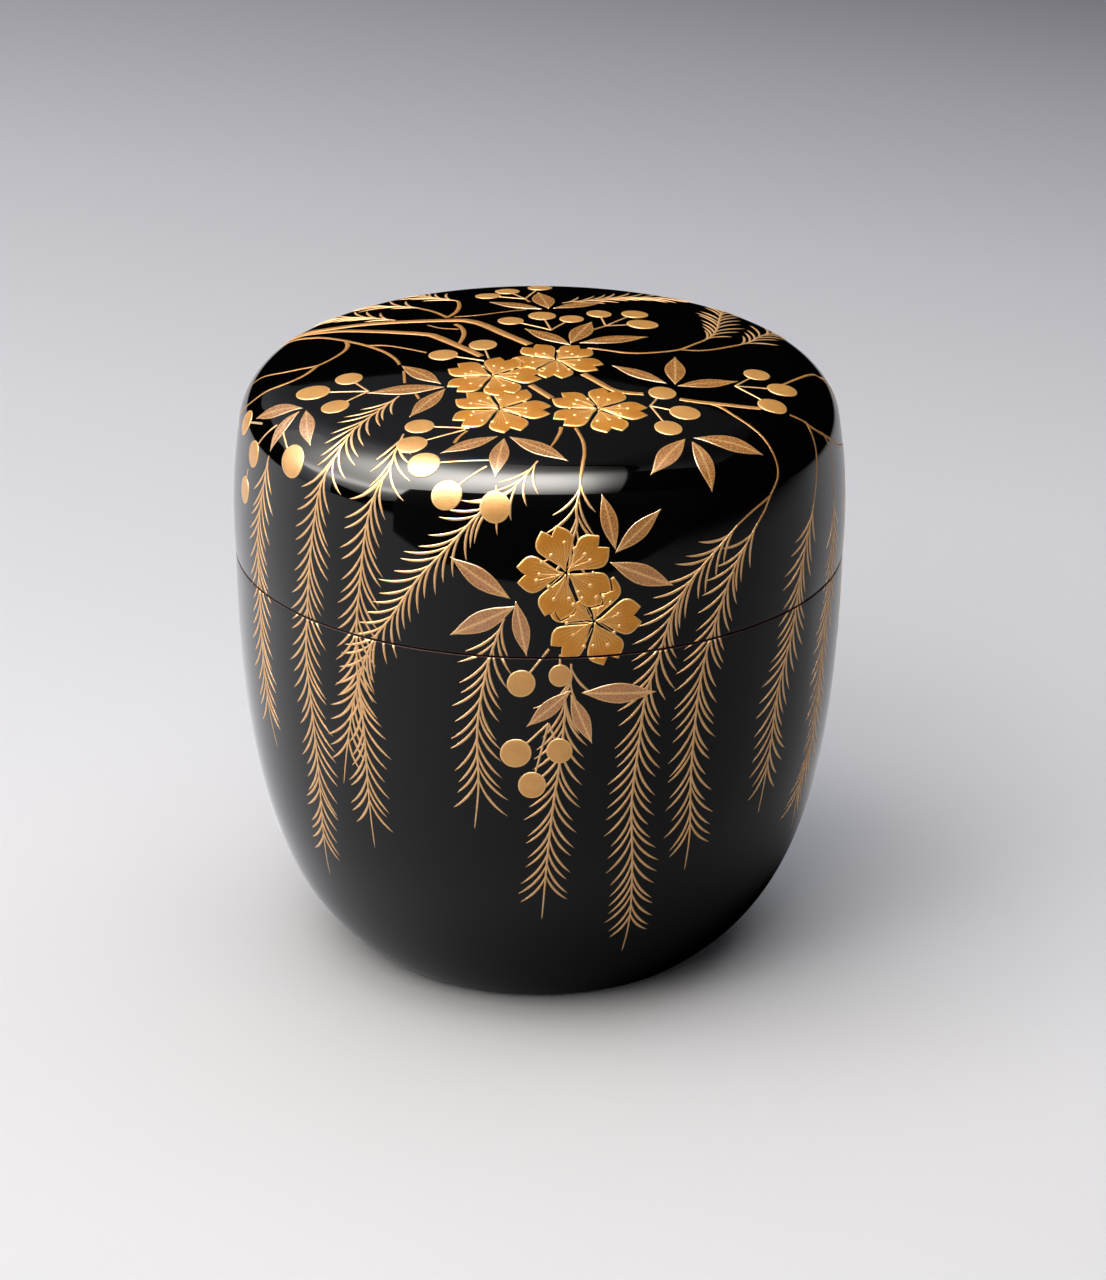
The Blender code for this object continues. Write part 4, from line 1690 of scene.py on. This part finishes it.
def wall_strength(tree):
    """Light spilt on the wall beside the softbox: it fades round the back, and grows upwards."""
    across, along = card_places(tree)
    return strength_along(tree, along, WALL_UPWARDS, strength_along(tree, across, WALL_ROUND))


def lit_wall():
    """A band round the back, from its uneven lower edge up to one height."""
    edge = np.array(WALL_EDGE[::-1], float)
    vertices, places, faces = [], [], []
    for azimuth in np.linspace(WALL_FROM, WALL_TO, WALL_COLUMNS):
        low = np.interp(azimuth, edge[:, 0], edge[:, 1])
        for elevation in np.linspace(low, WALL_HIGH, WALL_ROWS):
            vertices.append(in_direction(azimuth, elevation, WALL_DISTANCE))
            share = (azimuth - WALL_FROM) / (WALL_TO - WALL_FROM)
            places.append((share, (elevation - WALL_LOW) / (WALL_HIGH - WALL_LOW)))
    for column in range(WALL_COLUMNS - 1):
        for row in range(WALL_ROWS - 1):
            first = column * WALL_ROWS + row
            faces.append((first, first + WALL_ROWS, first + WALL_ROWS + 1, first + 1))
    glow = glow_material("spill on the wall", "#f4f6ff", wall_strength)
    made = stage_piece("lit_wall", vertices, faces, glow)
    add_uv_map(made.data, "card", places)
    mirrored_only(made)


def softbox():
    """The cloth of the large softbox, up on the left and over the caddy."""
    corners = [
        in_direction(-60, 5, 0.9), in_direction(32, 38, 0.62), in_direction(128, 72, 0.62),
        in_direction(-122, 14, 0.9),
    ]
    cloth = glow_material("softbox cloth", "#fffaf4", softbox_strength)
    made = sheet_of("softbox_face", corners, cloth)
    add_uv_map(made.data, "card", [(0, 0), (1, 0), (1, 1), (0, 1)])
    mirrored_only(made)


def backdrop():
    """A pale round wall far behind every camera, which the lacquer doesn't mirror."""
    low, high = ring(FLOOR_RADIUS, 0), ring(FLOOR_RADIUS, BACKDROP_HEIGHT)
    n = STAGE_STEPS
    faces = [(i, (i + 1) % n, n + (i + 1) % n, n + i) for i in range(n)]
    paper = new_material("backdrop paper", "#8b8c92", 0, 0.8)[0]
    stage_piece("backdrop", low + high, faces, paper).visible_glossy = False


def dark_reflection_card():
    """A black card in front, seen only in the lacquer: a painted dark reflection that keeps the
    lacquer's front deep.
    """
    left, right, front, up = -0.30, 0.60, -0.23, 0.3
    corners = [(left, front, 0), (right, front, 0), (right, front, up), (left, front, up)]
    mirrored_only(sheet_of("front_flag", corners, new_material("black flag", "#020202", 0, 1.0)[0]))


floor_paper = sheet_of("floor_paper", ring(FLOOR_RADIUS, 0), studio_paper())
floor_paper.visible_glossy = False
backdrop()
dark_reflection_card()
softbox()
lit_wall()
mirrored_only(
    sheet_of(
        "floor_in_the_lacquer",
        ring(PAPER_MIRRORED, MIRRORED_HEIGHT),
        glow_material("paper in the lacquer", "#f2f2f6", paper_strength),
    )
)


def area_light(name, place, target, size_x, size_y, radiance, hex_colour):
    """A rectangular light that lights the paper and the gold but isn't mirrored: its card is."""
    light = bpy.data.lights.new(name, "AREA")
    light.shape = "RECTANGLE"
    light.size = size_x
    light.size_y = size_y
    light.energy = radiance * math.pi * size_x * size_y
    light.color = linear(hex_colour)[:3]
    made = linked(name, light)
    made.location = place
    way = Vector(target) - Vector(place)
    made.rotation_euler = way.to_track_quat("-Z", "Y").to_euler()
    made.visible_glossy = False
    made.visible_camera = False


area_light("key_softbox", in_direction(-60, 55, 0.8), (0, 0, 0.04), 0.75, 0.65, 1.8, "#fffaf4")
area_light("overhead_fill", (0.05, 0.15, 1.3), (0, 0, 0), 1.6, 1.6, 1.4, "#f6f8ff")
area_light("front_fill", in_direction(-25, 40, 1.2), (0, 0, 0.04), 0.9, 0.7, 3.1, "#fffaf4")

world = bpy.data.worlds.new("dark studio")
bpy.context.scene.world = world
world.use_nodes = True
world.node_tree.nodes["Background"].inputs["Color"].default_value = linear("#020202")
world.node_tree.nodes["Background"].inputs["Strength"].default_value = 1.0


# The camera, fitted to the photograph's view of the caddy
CAMERA_DISTANCE = 0.600
CAMERA_ELEVATION = math.radians(22.475)
CAMERA_AIM = Vector((0.00155, 0, 0.034035))
CAMERA_ROLL = math.radians(0.277)
LENS = 178.75
SENSOR = 36.0
CLIP_START, CLIP_END = 0.01, 10


def add_camera():
    data = bpy.data.cameras.new("camera")
    data.lens = LENS
    data.sensor_width = SENSOR
    data.sensor_fit = "HORIZONTAL"
    data.clip_start = CLIP_START
    data.clip_end = CLIP_END
    camera = linked("camera", data)
    forward = Vector((0, math.cos(CAMERA_ELEVATION), -math.sin(CAMERA_ELEVATION)))
    level_right = Vector((1, 0, 0))
    level_up = level_right.cross(forward)
    cos_roll, sin_roll = math.cos(CAMERA_ROLL), math.sin(CAMERA_ROLL)
    right = cos_roll * level_right + sin_roll * level_up
    up = cos_roll * level_up - sin_roll * level_right
    matrix = Matrix((right, up, -forward)).transposed().to_4x4()
    matrix.translation = CAMERA_AIM - CAMERA_DISTANCE * forward
    camera.matrix_world = matrix
    bpy.context.scene.camera = camera


add_camera()
bpy.context.scene.view_settings.view_transform = "Standard"
